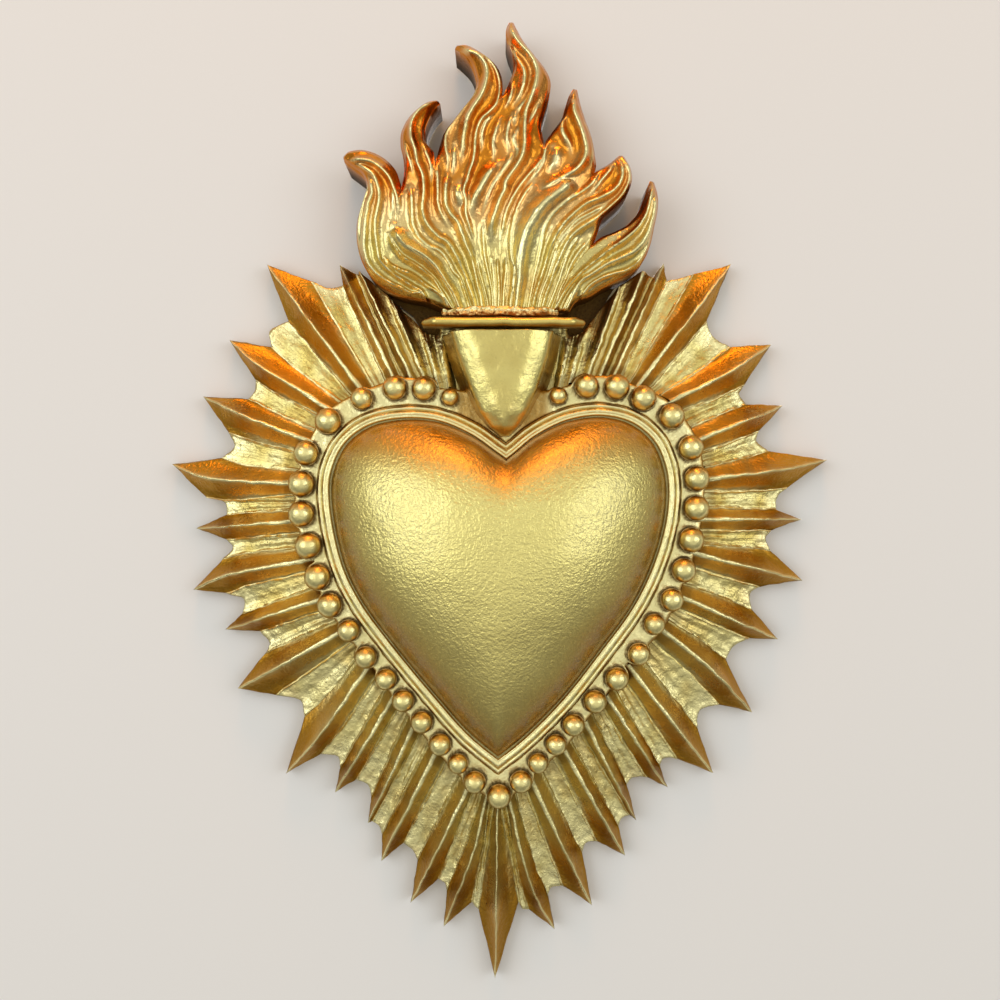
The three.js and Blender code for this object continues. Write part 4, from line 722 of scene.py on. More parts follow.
def ray_lines():
    """All the lines of the plate in order, with the finer steps of each scallop."""
    parts = 60
    fine = bed_curve(len(ROOTS) * parts)

    def bed(place):
        """The place on the bed that lies between two roots, given as a number of roots."""
        return fine[int(round((place % len(ROOTS)) * parts)) % len(fine)]

    crests = []
    for i, ray in enumerate(RAYS):
        narrow = "tint" in ray
        crests.append(Line("crest", ray["root"], ray["tip"], CREST_ROOT, HIGH_RAY_TIP if narrow else RAY_TIP,
                           BENDS.get(i, ()), settings().crest_swell * (0.6 if narrow else 1),
                           tint=ray.get("tint", 1.0)))
    lines = []
    luck = np.random.default_rng(12)
    for i, (ray, crest, following) in enumerate(zip(RAYS, crests, RAYS[1:] + [{}])):
        if "before" in ray:
            lines.append(Line("foot", bed(i - FOOT_SHARE), ray["before"], VALLEY_ROOT, WEB_EDGE, follow=crest))
        lines.append(crest)
        if "after" in ray:
            lines.append(Line("foot", bed(i + FOOT_SHARE), ray["after"], VALLEY_ROOT, WEB_EDGE, follow=crest))
        if "bay" in ray:
            scallop = curve_through([ray["after"], ray["bay"], following["before"]], count=SCALLOP_STEPS + 1)
            folds, shift = luck.choice([1.0, 1.5, 2.0]), luck.uniform(-0.15, 0.15)
            for step in range(1, SCALLOP_STEPS):
                share = step / SCALLOP_STEPS
                fold = 0.16 * math.sin(2 * math.pi * folds * (share + shift)) * math.sin(math.pi * share)
                lines.append(Line("web", bed(i + FOOT_SHARE + share * (1 - 2 * FOOT_SHARE)), scallop[step],
                                  VALLEY_ROOT + fold, WEB_EDGE + 0.5 * fold))
        elif following and "before" not in following and "after" not in ray:
            middle = np.add(ray["tip"], following["tip"]) / 2
            # The valleys are shallow between the narrow rays by the cup.
            raised = 2.4 if max(ray["tint"], following["tint"]) < 0.3 else 1.8
            lines.append(Line("foot", bed(i + 0.5), middle, VALLEY_ROOT + raised, WEB_EDGE + raised + 0.4))
    return lines + [Line("throat", *line, VALLEY_ROOT, VALLEY_ROOT) for line in THROAT]


# The columns of a slope: mm from its crest, shares of its width, and mm from its foot.
CREST_STEPS = (0.0, 0.14, 0.26, 0.34, 0.4, 0.47, 0.6)
FLANK_SHARES = (0.26, 0.4, 0.54, 0.66, 0.76)
FOOT_STEPS = (0.5, 0.38, 0.28, 0.19, 0.1)

# A line starts this far under the bed, and the tool marks of one strip lie this far from the next, in mm.
STRIP_INSET = 1.8
STRIP_GAP = 17.0
# Points along a line up to its worn end, and how far along it they go.
STRIP_POINTS = 36
STRIP_END = 0.985

# The worn edge of the plate: mm from the edge, and how far it has dropped there.
EDGE_STEPS = (0.3, 0.12, 0.03, 0.0)
EDGE_DROPS = (0.02, 0.1, 0.24, 0.45)


def web_column(first, second, shares, place):
    """One column of the flat ground between two lines, place being its share of the way across."""
    a, b = first.at(shares), second.at(shares)
    width = np.maximum(np.linalg.norm(b - a, axis=1), 0.05)
    s = np.full(len(shares), place)
    at = a + (b - a) * s[:, None]
    depth = first.depth(shares) + (second.depth(shares) - first.depth(shares)) * s
    if first.kind == second.kind == "foot":
        depth = depth - 0.15 * np.sin(np.pi * s)
    # A thin rough line is left where the ground meets the foot of a slope.
    line = bell(s * width, 0.2) * (first.kind == "foot") + bell((1 - s) * width, 0.2) * (second.kind == "foot")
    depth = depth + settings().foot_line * line * (0.6 + lumps(at, (0.5, 0.8, 61)))
    cloud = lumps(at, (1, 3.2, 62))
    # The olive thins towards the ends of the webs. It also thins towards the bottom, a painted lightening
    # where the room lights the webs less from below. The webs are more coppery near the bed.
    olive = (0.75 + 0.4 * cloud) * (1 - smooth(0.72, 0.96, shares)) * (1 - 0.8 * line)
    olive = olive * (0.55 + 0.45 * smooth(-45, -5, at[:, 1]))
    tone = 0.25 * np.clip(cloud + 1 - smooth(0.0, 0.4, shares), 0, 1) * (1 - line)
    return at, depth, tone, np.clip(olive, 0, 1), 0 * tone, width * s


def slope_column(first, second, shares, place):
    """One column of the slope between a crest and its foot. Place says where it lies, as mm from either
    line or as a share, and how much chance there is in this slope."""
    a, b = first.at(shares), second.at(shares)
    width = np.maximum(np.linalg.norm(b - a, axis=1), 0.05)
    crest_first = first.kind == "crest"
    kind, value, chance = place
    if kind == "crest":
        s = np.minimum(value / width, value / CREST_STEPS[-1] * 0.2)
    elif kind == "foot":
        s = 1 - np.minimum(value / width, value / FOOT_STEPS[0] * 0.2)
    else:
        s = np.full(len(shares), value)
    top, foot = (first, second) if crest_first else (second, first)
    low = foot.depth(shares)
    from_crest, from_foot = s * width, (1 - s) * width
    at = a + (b - a) * (s if crest_first else 1 - s)[:, None]
    up = at[:, 1]
    narrow = top.tint < 1
    # A round bead runs along the crest, then the slope, then a step up to the line at its foot.
    bead = np.minimum(settings().crest_bead, 0.24 * width)
    floor = np.minimum(0.3, 0.16 * width)
    down = np.clip((from_crest - bead) / (width - bead - floor), 0, 1)
    if narrow:
        profile = np.interp(down, [0, 0.28, 0.6, 1], [1, 0.8, 0.08, 0])
    else:
        profile = np.interp(down, [0, 0.72, 1], [1, 0.08 + 0.08 * chance, 0])
    line = (not narrow) * settings().foot_line * (0.65 + lumps(at, (0.5, 0.8, 61)))
    line = line * np.exp(-(from_foot / 0.3) ** 4) * np.clip(width / 1.5, 0.15, 1)
    line = line + 0.1 * chance * bell((down - 0.72) * width, 0.2)
    grain = lumps(at, (0.1, 0.5, 64)) * np.exp(-(from_crest / 0.65) ** 4)
    depth = low + (top.depth(shares) - low) * profile - 0.16 * np.minimum(from_crest / bead, 1) ** 2
    depth = depth + line + grain
    # Umber wash and painted shade lie in a broken line where the slope meets its foot, and beside the crest.
    broken = 0.6 + lumps(at, (0.6, 1.3, 65))
    dark = 0.65 * bell(from_foot - 0.45, 0.16) * broken * smooth(0.8, 1.6, width)
    dark = dark + 0.25 * bell(from_crest / bead - 1.25, 0.25) * broken
    if narrow:
        beside = smooth(1.1, 1.6, from_crest / bead)
        tone, olive = beside * max(0.9 * top.tint - 0.2, 0.0), beside * 0.6
        return at, depth, tone, olive, np.clip(dark, 0, 1), from_crest
    # Copper on a slope is thin paint and painted shade. It grows towards the top as painted warm light from
    # above, and towards the tips, more so on the lower rays. The crest and the foot line are left pale.
    inner = 1 - smooth(0.15, 0.75, shares)
    wash_and_shade = 0.26 + 0.4 * smooth(-35, 5, up) + 0.12 * smooth(10, 35, up) + lumps(at, (0.12, 4.0, 63))
    wash_and_shade = wash_and_shade + (0.4 + 0.4 * smooth(0, -30, up)) * smooth(0.35, 0.85, shares)
    tone = smooth(0.95, 1.45, from_crest / bead) * smooth(0.28, 0.46, from_foot)
    tone = tone * (1 - 0.5 * inner * smooth(0.6, 0.85, s)) * wash_and_shade
    olive = (0.3 * inner + 0.4 * smooth(0, -30, up)) * smooth(1, 1.5, from_crest / bead)
    return at, depth, np.clip(tone, 0, 1), olive, np.clip(dark, 0, 1), from_crest


def strip_columns(first, second, chance):
    """The strip between two lines: the shares of their length at which it has points, and its columns,
    each with its places, depths, tone, olive, dark and run across."""
    length = first.length
    inset = min(STRIP_INSET, length * 0.3) / length
    shares = np.concatenate([[-inset, -inset / 2], np.linspace(0, STRIP_END, STRIP_POINTS),
                             [1 - step / length for step in EDGE_STEPS]])
    shares = np.maximum.accumulate(shares)
    if "crest" in (first.kind, second.kind):
        places = [("crest", step, chance) for step in CREST_STEPS[1:]]
        places += [("share", share, chance) for share in FLANK_SHARES]
        places += [("foot", step, chance) for step in FOOT_STEPS]
        if first.kind == "crest":
            places = [("crest", 0.0, chance)] + places
        else:
            places = [("foot", 0.0, chance)] + places[::-1]
        return shares, [slope_column(first, second, shares, place) for place in places]
    if first.kind == second.kind == "throat":
        places = np.linspace(0, 1, 24, endpoint=False)
    elif {first.kind, second.kind} == {"foot", "web"}:
        places = [0.0, 0.2, 0.4, 0.7] if first.kind == "foot" else [0.0, 0.3, 0.6, 0.8]
    else:
        places = [0.0, 0.5]
    return shares, [web_column(first, second, shares, place) for place in places]


def sunburst_surface():
    """The carved face as a grid: places, depths, tone, olive, dark and the run of the carving."""
    lines = ray_lines()
    chance = np.random.default_rng(7).uniform(0, 1, len(lines))
    columns, along, ground = [], [], []
    for i, (first, second) in enumerate(zip(lines, lines[1:] + lines[:1])):
        slope = "crest" in (first.kind, second.kind)
        luck = chance[i] if first.kind != "crest" else chance[(i + 1) % len(lines)]
        shares, made = strip_columns(first, second, luck)
        drop = np.concatenate([np.zeros(len(shares) - len(EDGE_DROPS)), EDGE_DROPS])
        # A scallop's edge is drawn up in a thin bright lip.
        lip = 0.0 if slope else 0.16 * bell((1 - shares) * first.length - 0.6, 0.4)
        for at, depth, *painted, run in made:
            columns.append((at, depth - drop + lip, *painted, i * STRIP_GAP + run))
            along.append(shares * first.length)
            ground.append(np.full(len(shares), 0.35 if slope else 1.0))
    xy, depth, tone, olive, dark, across = (np.stack(part, axis=1) for part in zip(*columns))
    # The knife wandered a little along every line.
    stray = np.stack([lumps(xy, (1, 2.1, seed), (0.6, 0.9, seed + 10)) for seed in (8, 9)], axis=-1)
    xy = np.clip(xy + 0.12 * stray, xy.min(axis=(0, 1)), xy.max(axis=(0, 1)))
    pitted = lumps(xy, (0.09, 0.9, 4), (0.07, 0.6, 5)) * np.stack(ground, axis=1)
    depth = depth + (lumps(xy, (0.05, 2.4, 3)) + pitted)
    return xy, depth, tone, olive, dark, np.stack([across, np.stack(along, axis=1), 0 * depth], axis=-1)


# How coppery and how dark the paint is on the flat back.
BACK_TONE, BACK_HOLLOW = 0.25, 0.12


def make_sunburst():
    """The ray plate with its carved face and the flat back, the recess in it and the ground of the flame."""
    xy, depth, tone, olive, dark, carve = sunburst_surface()
    rows, columns = depth.shape
    # The rows are the floor under the bed, the face, the lower edge and the rim of the back.
    points = np.concatenate([level(xy[:1], FLOOR), np.dstack([xy, depth]), level(xy[-1:], 0.25),
                             level(xy[-1:], 0.0)])
    # Painted shade darkens the roots of the rays by the bed. The most coppery slopes are also darker towards
    # the bottom.
    hollow = np.maximum(0.3 * (1 - smooth(0.5, 1.6, carve[..., 1])),
                        0.22 * smooth(0.8, 1.0, tone) * smooth(20, -25, xy[..., 1]))

    def rimmed(floor, face, edge, back):
        """Values of the face with one value for each of the rows round it."""
        row = np.ones((1, columns))
        return np.concatenate([floor * row, face, edge * row, back * row]).ravel()

    shell = Shell()
    run = np.concatenate([carve[:1], carve, carve[-1:], 0 * carve[-1:]])
    # The floor under the bed and the plate's outer edge are painted dark and coppery, as painted shade.
    shell.add(points, [grid_faces(rows + 3, columns, wrap=True)], tone=rimmed(1.0, tone, 0.9, BACK_TONE),
              hollow=rimmed(0.8, np.maximum(hollow, dark), 0.5, BACK_HOLLOW), olive=rimmed(0, olive, 0, 0),
              carve=run.reshape(-1, 3))
    shell.add(np.vstack([points[0], [[*DOME_CENTRE, FLOOR]]]),
              [[(i, (i + 1) % columns, columns) for i in range(columns)]])

    def plain(parts, tone, hollow, back_until):
        """Adds sheets and walls that have the paint of the back up to a depth and their own beyond it."""
        for points, faces in parts:
            back = points[:, 2] < back_until
            shell.add(points, [faces], tone=np.where(back, BACK_TONE, tone),
                      hollow=np.where(back, BACK_HOLLOW, hollow))

    half, low, high, deep = RECESS
    pocket = np.array([(-half, low), (half, low), (half, high), (-half, high)])
    radius, apart, bore_depth = LEG_BORE
    turn = np.linspace(0, 2 * np.pi, 24, endpoint=False)
    bores = [np.column_stack([radius * np.cos(turn), HANGER_HEIGHT + side * apart + radius * np.sin(turn)])
             for side in (-1, 1)]
    plain([sheet([xy[-1], pocket], 0), wall(pocket, 0, deep), sheet([pocket, *bores], deep)], 0, 0, deep + 1)
    # The bores are painted dark inside, as painted shade.
    for bore in bores:
        plain([wall(bore, deep, deep + 0.2), wall(bore, deep + 0.2, deep + bore_depth),
               sheet([bore], deep + bore_depth)], 0.0, 0.7, deep + 0.1)
    # The apron is painted nearly umber, a painted shadow under the foot of the flame.
    apron = np.array(APRON, float)
    plain([sheet([apron], 0.03), wall(apron, 0.03, 0.3), wall(apron, 0.3, APRON_FRONT),
           sheet([apron], APRON_FRONT)], 0.8, 0.95, 0.1)
    paint = gilding("Gold_bronze_paint_on_carved_rays", settings().pale_gold, rough=0.28, peel=0.6,
                    peel_height=0.12, grain_height=0.06, slope=(-0.9, -0.6), slope_share=0.15,
                    amber_share=0.4, tone_share=1.0, mottle=0.12, streaks=0.03)
    settle(shell.make("sunburst", crease=58), paint, ["sunburst_plate"])


# The heart, its rolls and the bed of the beads.


# Points on each side of the heart, and how far from the lower point the last of them stops, in mm.
HEART_STEPS = 110
HEART_CLEAR = 4.3


def heart_outline():
    """Outer edge of the rolls, from the cleft down the left side to the point and up the right."""

    def side(points):
        """One side of the heart, with a last point in the lower point."""
        run = curve_through([HEART_CLEFT, *points, HEART_POINT], count=900)
        return even(run, np.append(np.linspace(0, 1 - HEART_CLEAR / length_of(run), HEART_STEPS), 1.0))

    left, right = side(HEART_LEFT), side(HEART_RIGHT)
    return np.vstack([left, right[1:-1][::-1]])


def offset(loop, distance):
    """Moves each side of a closed loop outwards by the same distance, or inwards where it is negative."""
    before = loop - np.roll(loop, 1, axis=0)
    after = np.roll(loop, -1, axis=0) - loop
    normals = []
    for side in (before, after):
        turned = np.column_stack([side[:, 1], -side[:, 0]])
        normals.append(turned / np.linalg.norm(turned, axis=1)[:, None])
    mitre = normals[0] + normals[1]
    mitre /= np.linalg.norm(mitre, axis=1)[:, None]
    lean = np.maximum((mitre * normals[0]).sum(axis=1), 0.5)
    return loop + mitre * (distance / lean)[:, None]


def make_rim():
    """The double roll round the heart, with the nick that the casting left in the right of the cleft."""
    outline = heart_outline()
    inner = offset(outline, -RIM_WIDTH)
    count = len(outline)
    nick = bell(np.hypot(outline[:, 0] - 6.3, outline[:, 1] - 14.6), 0.7)
    under = BED_UNDER - BED_TOP
    rows, hollow = [], []
    for share, rise in [(0.0, under), *RIM_SECTION, (1.0, under)]:
        xy = outline + (inner - outline) * share
        uneven = lumps(xy, (0.08, 3.0, 11), (0.06, 1.1, 12)) if rise > under else 0
        depth = BED_TOP + rise + uneven - 0.8 * nick * (rise > 1.0)
        rows.append(np.column_stack([xy, np.broadcast_to(depth, count)]))
        # Umber wash and painted shade darken the groove between the rolls and both edges, and the nick too.
        groove = math.exp(-((share - 0.34) / 0.04) ** 2) * 0.15
        groove = max(groove, 0.6 * (share > 0.99), 0.4 * (share < 0.02))
        hollow.append(np.full(count, groove) + 0.5 * nick)
    shell = Shell()
    shell.add(np.vstack(rows), [grid_faces(len(rows), count, wrap=True), ring_faces(len(rows), count)],
              hollow=np.concatenate(hollow))
    paint = gilding("Gold_bronze_paint_on_heart_rolls", settings().pale_gold, rough=0.33, peel_height=0.12,
                    grain_height=0.06, slope=(-0.8, -0.3), slope_share=0.6, amber_share=0.4)
    settle(shell.make("heart_rolls", crease=60), paint, ["heart_rim"])


CROWN_RADIUS = 30
DOME_RINGS = 84


def make_dome():
    """The domed heart, drawn as rings that turn from the heart's outline into circles round the crown."""
    edge = offset(heart_outline(), -(RIM_WIDTH - 0.05))
    centre = np.array(DOME_CENTRE)
    spread = edge - centre
    crown = CROWN_RADIUS / np.linalg.norm(spread, axis=1)[:, None]
    low, count, size = BED_TOP + 0.1, DOME_RINGS, len(edge)
    rings, hollow = [level(edge, BED_UNDER)], [np.ones(size)]
    for ring in range(count):
        share = math.cos(ring / count * math.pi / 2)
        rise = DOME_RISE * (1 - share ** 2.4) ** 0.62
        xy = centre + spread * (share * (crown + (1 - crown) * share))
        wave = lumps(xy, (0.16, 9, 21), (0.05, 3.5, 22))
        depth = np.maximum(low + rise + wave * smooth(0, 4, rise), low + 1.4)
        rings.append(np.column_stack([xy, depth]))
        # Painted shade darkens the foot of the dome where it meets the rolls.
        hollow.append(np.full(size, 0.5 * (1 - smooth(1.3, 1.9, rise)) + 0.1 * (1 - smooth(1, 8, rise))))
    shell = Shell()
    points = np.vstack([*rings, [[*centre, low + DOME_RISE]]])
    last = count * size
    cap = [(last + i, last + (i + 1) % size, len(points) - 1) for i in range(size)]
    shell.add(points, [grid_faces(count + 1, size, wrap=True), cap],
              hollow=np.append(np.concatenate(hollow), 0))
    base, faces = sheet([edge], BED_UNDER)
    shell.add(base, [faces], hollow=np.ones(len(base)))
    # The dome's downward slopes take a brownish olive as painted shade, and its upward ones take amber as
    # painted warm light.
    paint = gilding("Satin_gold_bronze_paint_on_heart", settings().warm_gold, rough=0.33, peel=0.7,
                    peel_height=0.19, grain_height=0.065, slope=(-0.95, -0.58), slope_share=0.9,
                    amber_share=0.8, under_share=0.3, coat=0.9, wash_and_shade=srgb("#aa852e"))
    settle(shell.make("heart", crease=70), paint, ["heart_dome"])


# Section of the bed of the beads: share of its width from the inside, and how far it falls below its top.
BED_SECTION = [
    (0, BED_UNDER - BED_TOP), (0, -0.25), (0.02, -0.06), (0.07, 0), (0.16, 0), (0.27, 0), (0.38, 0),
    (0.5, 0), (0.62, 0), (0.73, 0), (0.82, -0.02), (0.89, -0.08), (0.94, -0.22), (0.98, -0.5), (1, -1.0),
    (1, BED_UNDER - BED_TOP),
]
BED_COLUMNS = 960


def reach(loop, angles):
    """How far a loop lies from the middle of the dome at each angle."""
    spread = loop - np.array(DOME_CENTRE)
    turn = np.arctan2(spread[:, 1], spread[:, 0])
    order = np.argsort(turn)
    return np.interp(angles, turn[order], np.linalg.norm(spread, axis=1)[order], period=2 * np.pi)


def make_bed():
    """The flat bed between the rolls and the rays, with an edge that bulges round each bead."""
    centre, beads = np.array(DOME_CENTRE), np.array(BEADS)
    angles = np.linspace(0, 2 * np.pi, BED_COLUMNS, endpoint=False)
    way = np.column_stack([np.cos(angles), np.sin(angles)])
    outline = heart_outline()
    halves = np.split(np.vstack([outline, outline[:1]]), [HEART_STEPS])
    fine_heart = np.vstack([even(half, np.linspace(0, 1, 700)) for half in halves])
    inner = reach(fine_heart, angles) + 0.05
    outer = reach(bed_curve(), angles) - 1.7
    for x, y, radius in BEADS:
        to = np.array([x, y]) - centre
        ahead = way @ to
        ring = (radius + 0.42) ** 2 - (to @ to - ahead ** 2)
        outer = np.maximum(outer, np.where((ring > 0) & (ahead > 0), ahead + np.sqrt(np.maximum(ring, 0)), 0))
    outer = np.minimum(outer, reach(bed_curve(), angles) + 0.9)
    rows, hollow, tone = [], [], []
    for share, lip in BED_SECTION:
        xy = centre + way * (inner + (outer - inner) * share)[:, None]
        near = (np.linalg.norm(xy[:, None] - beads[None, :, :2], axis=2) - beads[:, 2]).min(axis=1)
        # Each bead stands in a small ditch. Painted shade darkens and browns the bed there, on its falling
        # outer edge and beside the cup.
        ditch = bell(np.maximum(near, 0), 0.16)
        pits = lumps(xy, (0.1, 0.8, 31), (0.08, 1.7, 32))
        depth = BED_TOP + lip + (pits - 0.15 * ditch if lip > -0.9 else 0)
        rows.append(np.column_stack([xy, np.broadcast_to(depth, BED_COLUMNS)]))
        beside_cup = smooth(11, 8, np.abs(xy[:, 0] - 0.5)) * smooth(13, 16, xy[:, 1])
        hollow.append(np.maximum(np.maximum(0.5 * ditch, 0.4 * (lip < -0.4)), 0.25 * beside_cup))
        tone.append(np.maximum(np.maximum(0.9 * smooth(0.8, 0.93, share), 0.9 * ditch), 0.9 * beside_cup))
    shell = Shell()
    shell.add(np.vstack(rows), [grid_faces(len(rows), BED_COLUMNS, wrap=True),
                                ring_faces(len(rows), BED_COLUMNS)],
              hollow=np.concatenate(hollow), tone=np.concatenate(tone))
    paint = gilding("Gold_bronze_paint_on_bead_bed", settings().pale_gold, rough=0.34, peel=0.6,
                    peel_height=0.09, grain_height=0.05, slope=(-0.85, -0.4), slope_share=0.4,
                    amber_share=0.6, tone_share=0.85)
    settle(shell.make("bead_bed", crease=60), paint, ["bead_band"])


def bake_nodes(carrier, tree, values):
    """Runs a node tree on a carrier object, keeps the result as a plain mesh and drops the modifier."""
    worker = carrier.modifiers.new("Maker", "NODES")
    worker.node_group = tree
    for item in tree.interface.items_tree:
        if item.item_type == "SOCKET" and item.in_out == "INPUT" and item.name in values:
            worker[item.identifier] = values[item.name]
    ready = carrier.evaluated_get(bpy.context.evaluated_depsgraph_get())
    mesh = bpy.data.meshes.new_from_object(ready)
    carrier.modifiers.clear()
    carrier.data = mesh
    return carrier


def carrier_of(name, points, edges=(), values=None):
    """An object with points, and edges between them, for a node tree to work on."""
    world = [(x / 1000, -depth / 1000, y / 1000) for x, y, depth in points]
    mesh = bpy.data.meshes.new(name)
    mesh.from_pydata(world, list(edges), [])
    for key, value in (values or {}).items():
        mesh.attributes.new(key, "FLOAT", "POINT").data.foreach_set("value", value)
    made = bpy.data.objects.new(name, mesh)
    bpy.context.scene.collection.objects.link(made)
    return made


def node_tree(name, inputs):
    """A new geometry tree with its mesh input and the named inputs given as type and default."""
    tree = bpy.data.node_groups.new(name, "GeometryNodeTree")
    tree.interface.new_socket("Geometry", in_out="INPUT", socket_type="NodeSocketGeometry")
    for label, (kind, default) in inputs.items():
        socket = tree.interface.new_socket(label, in_out="INPUT", socket_type=kind)
        if default is not None:
            socket.default_value = default
    tree.interface.new_socket("Geometry", in_out="OUTPUT", socket_type="NodeSocketGeometry")
    source = add(tree, "NodeGroupInput")
    return tree, source.outputs


def bead_tree():
    """Puts a cut ball on each point, sized by the point's radius, with a little unevenness. In metres."""
    tree, given = node_tree("Hand_laid_beads", {
        "Wobble": ("NodeSocketFloat", 0.0001), "Flat": ("NodeSocketFloat", 0.0098),
        "Facets": ("NodeSocketInt", 36), "Paint": ("NodeSocketMaterial", None)})
    ball = add(tree, "GeometryNodeMeshUVSphere", {"Segments": given["Facets"], "Rings": 20, "Radius": 1.0})
    shaded = add(tree, "GeometryNodeSetShadeSmooth", {"Geometry": ball})
    radius = add(tree, "GeometryNodeInputNamedAttribute", {"Name": "radius"}, data_type="FLOAT")
    laid = add(tree, "GeometryNodeInstanceOnPoints", {
        "Points": given["Geometry"], "Instance": shaded, "Rotation": (math.pi / 2, 0, 0), "Scale": radius})
    real = add(tree, "GeometryNodeRealizeInstances", {"Geometry": laid})
    # Each ball strays a little from round.
    place = add(tree, "GeometryNodeInputPosition")
    bumps = add(tree, "ShaderNodeTexNoise", {"Vector": place, "Scale": per_mm(3.0), "Detail": 1.0})
    middle = add(tree, "ShaderNodeVectorMath", {0: bumps.outputs["Color"], 1: (0.5, 0.5, 0.5)},
                 operation="SUBTRACT")
    stray = add(tree, "ShaderNodeVectorMath", {0: middle, "Scale": given["Wobble"]}, operation="SCALE")
    moved = add(tree, "GeometryNodeSetPosition", {"Geometry": real, "Offset": stray})
    # It is cut flat where it stands in its bed.
    split = add(tree, "ShaderNodeSeparateXYZ", {0: add(tree, "GeometryNodeInputPosition")})
    back = add(tree, "ShaderNodeMath", {0: given["Flat"], 1: -1.0}, operation="MULTIPLY")
    held = add(tree, "ShaderNodeMath", {0: split.outputs["Y"], 1: back}, operation="MINIMUM")
    joined = add(tree, "ShaderNodeCombineXYZ", {0: split.outputs["X"], 1: held, 2: split.outputs["Z"]})
    cut = add(tree, "GeometryNodeSetPosition", {"Geometry": moved, "Position": joined})
    # Painted shade darkens each bead over the last 1.4 mm above the bed.
    depth = add(tree, "ShaderNodeSeparateXYZ", {0: add(tree, "GeometryNodeInputPosition")})
    low = add(tree, "ShaderNodeMapRange", {0: depth.outputs["Y"], 1: -0.0115, 2: -0.0101, 3: 0.0, 4: 0.85})
    marked = add(tree, "GeometryNodeStoreNamedAttribute", {"Geometry": cut, "Name": "hollow", "Value": low},
                 data_type="FLOAT", domain="POINT")
    plain = add(tree, "GeometryNodeRealizeInstances", {"Geometry": marked})
    painted = add(tree, "GeometryNodeSetMaterial", {"Geometry": plain, "Material": given["Paint"]})
    add(tree, "NodeGroupOutput", {"Geometry": painted})
    return tree


# How far the middle of a bead lies in front of its bed.
BEAD_PROUD = 1.5


def make_beads():
    """The beads, each a little more than half out of the bed."""
    points = [(x, y, BED_TOP + BEAD_PROUD) for x, y, _ in BEADS]
    carrier = carrier_of("beads", points, values={"radius": [r / 1000 for *_, r in BEADS]})
    paint = gilding("Gold_bronze_paint_on_beads", srgb("#e9dd98"), rough=0.3, peel=0.9, peel_height=0.12,
                    grain_height=0.05, slope=(-0.75, -0.25), slope_share=0.95, amber_share=0.7, coat=0.4)
    bake_nodes(carrier, bead_tree(), {"Wobble": settings().bead_wobble / 1000, "Paint": paint})
    settle(carrier, None, [f"bead_{i + 1:02d}" for i in range(len(BEADS))])


# The cup, the collar and the lip.


# The cup's side runs down to the throat in steps: how far along it each lies.
CUP_FLARE = np.array([1.0, 0.75, 0.5, 0.28, 0.12])
# Where the side falls to the throat it is painted darker and coppery, as painted shade, darkest at its foot.
CUP_SIDE_SHADE = (0.3, 0.15, 0.08, 0.0, 0.0)
CUP_SIDE_TONE = (0.4, 0.5, 0.5, 0.4, 0.2)


def make_cup():
    """The shield-shaped cup, its face rounded over along the sides and flat in the middle."""
    heights, lefts, rights, fulls = np.array(CUP_ROWS[::-1], float).T
    # The first rows turn the mouth in under the collar.
    ys = np.concatenate([[34.3, 34.3, 34.22, 34.0], np.linspace(33.6, 13.0, 56)])
    pulled = np.concatenate([[1.0, 0.35, 0.1, 0.0], np.zeros(56)])
    across = np.linspace(0, 1, 49)
    inward = np.linspace(0, 10, 400)
    lean = 0.9 * np.exp(-inward / 0.5) + 0.38 * (1 - smooth(2.8, 5.4, inward))
    swelling = np.cumsum(lean) * inward[1]
    rows, hollow, tone, olive = [], [], [], []
    for y, pull in zip(ys, pulled):
        left, right, full = (float(np.interp(y, heights, values)) for values in (lefts, rights, fulls))
        left, right = left - 0.35 * full, right + 0.35 * full
        edge = CUP_FRONT - 2.2 - 1.0 * (1 - full) ** 1.5 - 0.8 * smooth(14.5, 13, y)
        brink = edge - 0.9 * full
        x = left + (right - left) * across
        to_side = np.minimum(across, 1 - across)
        from_side = to_side * (right - left)
        roll = 0.5 * full * np.exp(-from_side / 0.5)
        uneven = 0.1 * ripple(x, y, 4.5, 41) + 0.07 * ripple(x, y, 1.8, 42)
        face = edge + np.interp(from_side, inward, swelling) - roll - pull * 0.6 + uneven
        if pull == 1.0:
            face = np.full(len(across), THROAT_SEAT)
        base = (2.0 + 0.5 * smooth(34, 18, y)) * full * CUP_FLARE ** 1.4
        sides = []
        for out in (left - base, right + base):
            at = np.column_stack([out, np.full(5, y)])
            rough = 0.18 * ripple(out * 2, at[:, 1], 1.4, 43) * (CUP_FLARE < 0.9)
            depth = brink - (brink - THROAT_SEAT) * CUP_FLARE ** 0.9 - pull * 0.6 + rough
            depth = np.full(5, THROAT_SEAT) if pull == 1.0 else np.maximum(depth, THROAT_SEAT)
            sides.append(np.column_stack([at, depth]))
        rows.append(np.vstack([sides[0], np.column_stack([x, np.full(len(x), y), face]), sides[1][::-1]]))
        # The face is olive towards the middle and the bottom, and darker towards the bottom. The mouth turned
        # in under the collar is painted dark, as painted shade.
        middle = 0.75 * smooth(0.1, 0.4, to_side) + 0.5 * smooth(21, 15, y)
        middle = np.clip(middle + 0.3 * ripple(x, y, 2.6, 44), 0, 1)
        side = np.maximum(CUP_SIDE_SHADE, 0.7 * (pull > 0))
        hollow += [side, np.full(len(x), 0.2 * smooth(20, 14, y)), side[::-1]]
        tone += [CUP_SIDE_TONE, np.zeros(len(x)), CUP_SIDE_TONE[::-1]]
        olive.append(np.pad(middle, 5))
    count, size = len(rows), len(rows[0])
    shell = Shell()
    shell.add(np.vstack(rows), [grid_faces(count, size), under_faces(count, size), end_face(count - 1, size)],
              hollow=np.concatenate(hollow), tone=np.concatenate(tone), olive=np.concatenate(olive))
    paint = gilding("Gold_bronze_paint_on_cup", settings().warm_gold, rough=0.3, peel=1.4,
                    peel_height=0.14, grain_height=0.045, slope=(-0.75, -0.4), slope_share=0.4,
                    amber_share=0.25, coat=0.8)
    settle(shell.make("cup", crease=55), paint, ["flame_cup"])


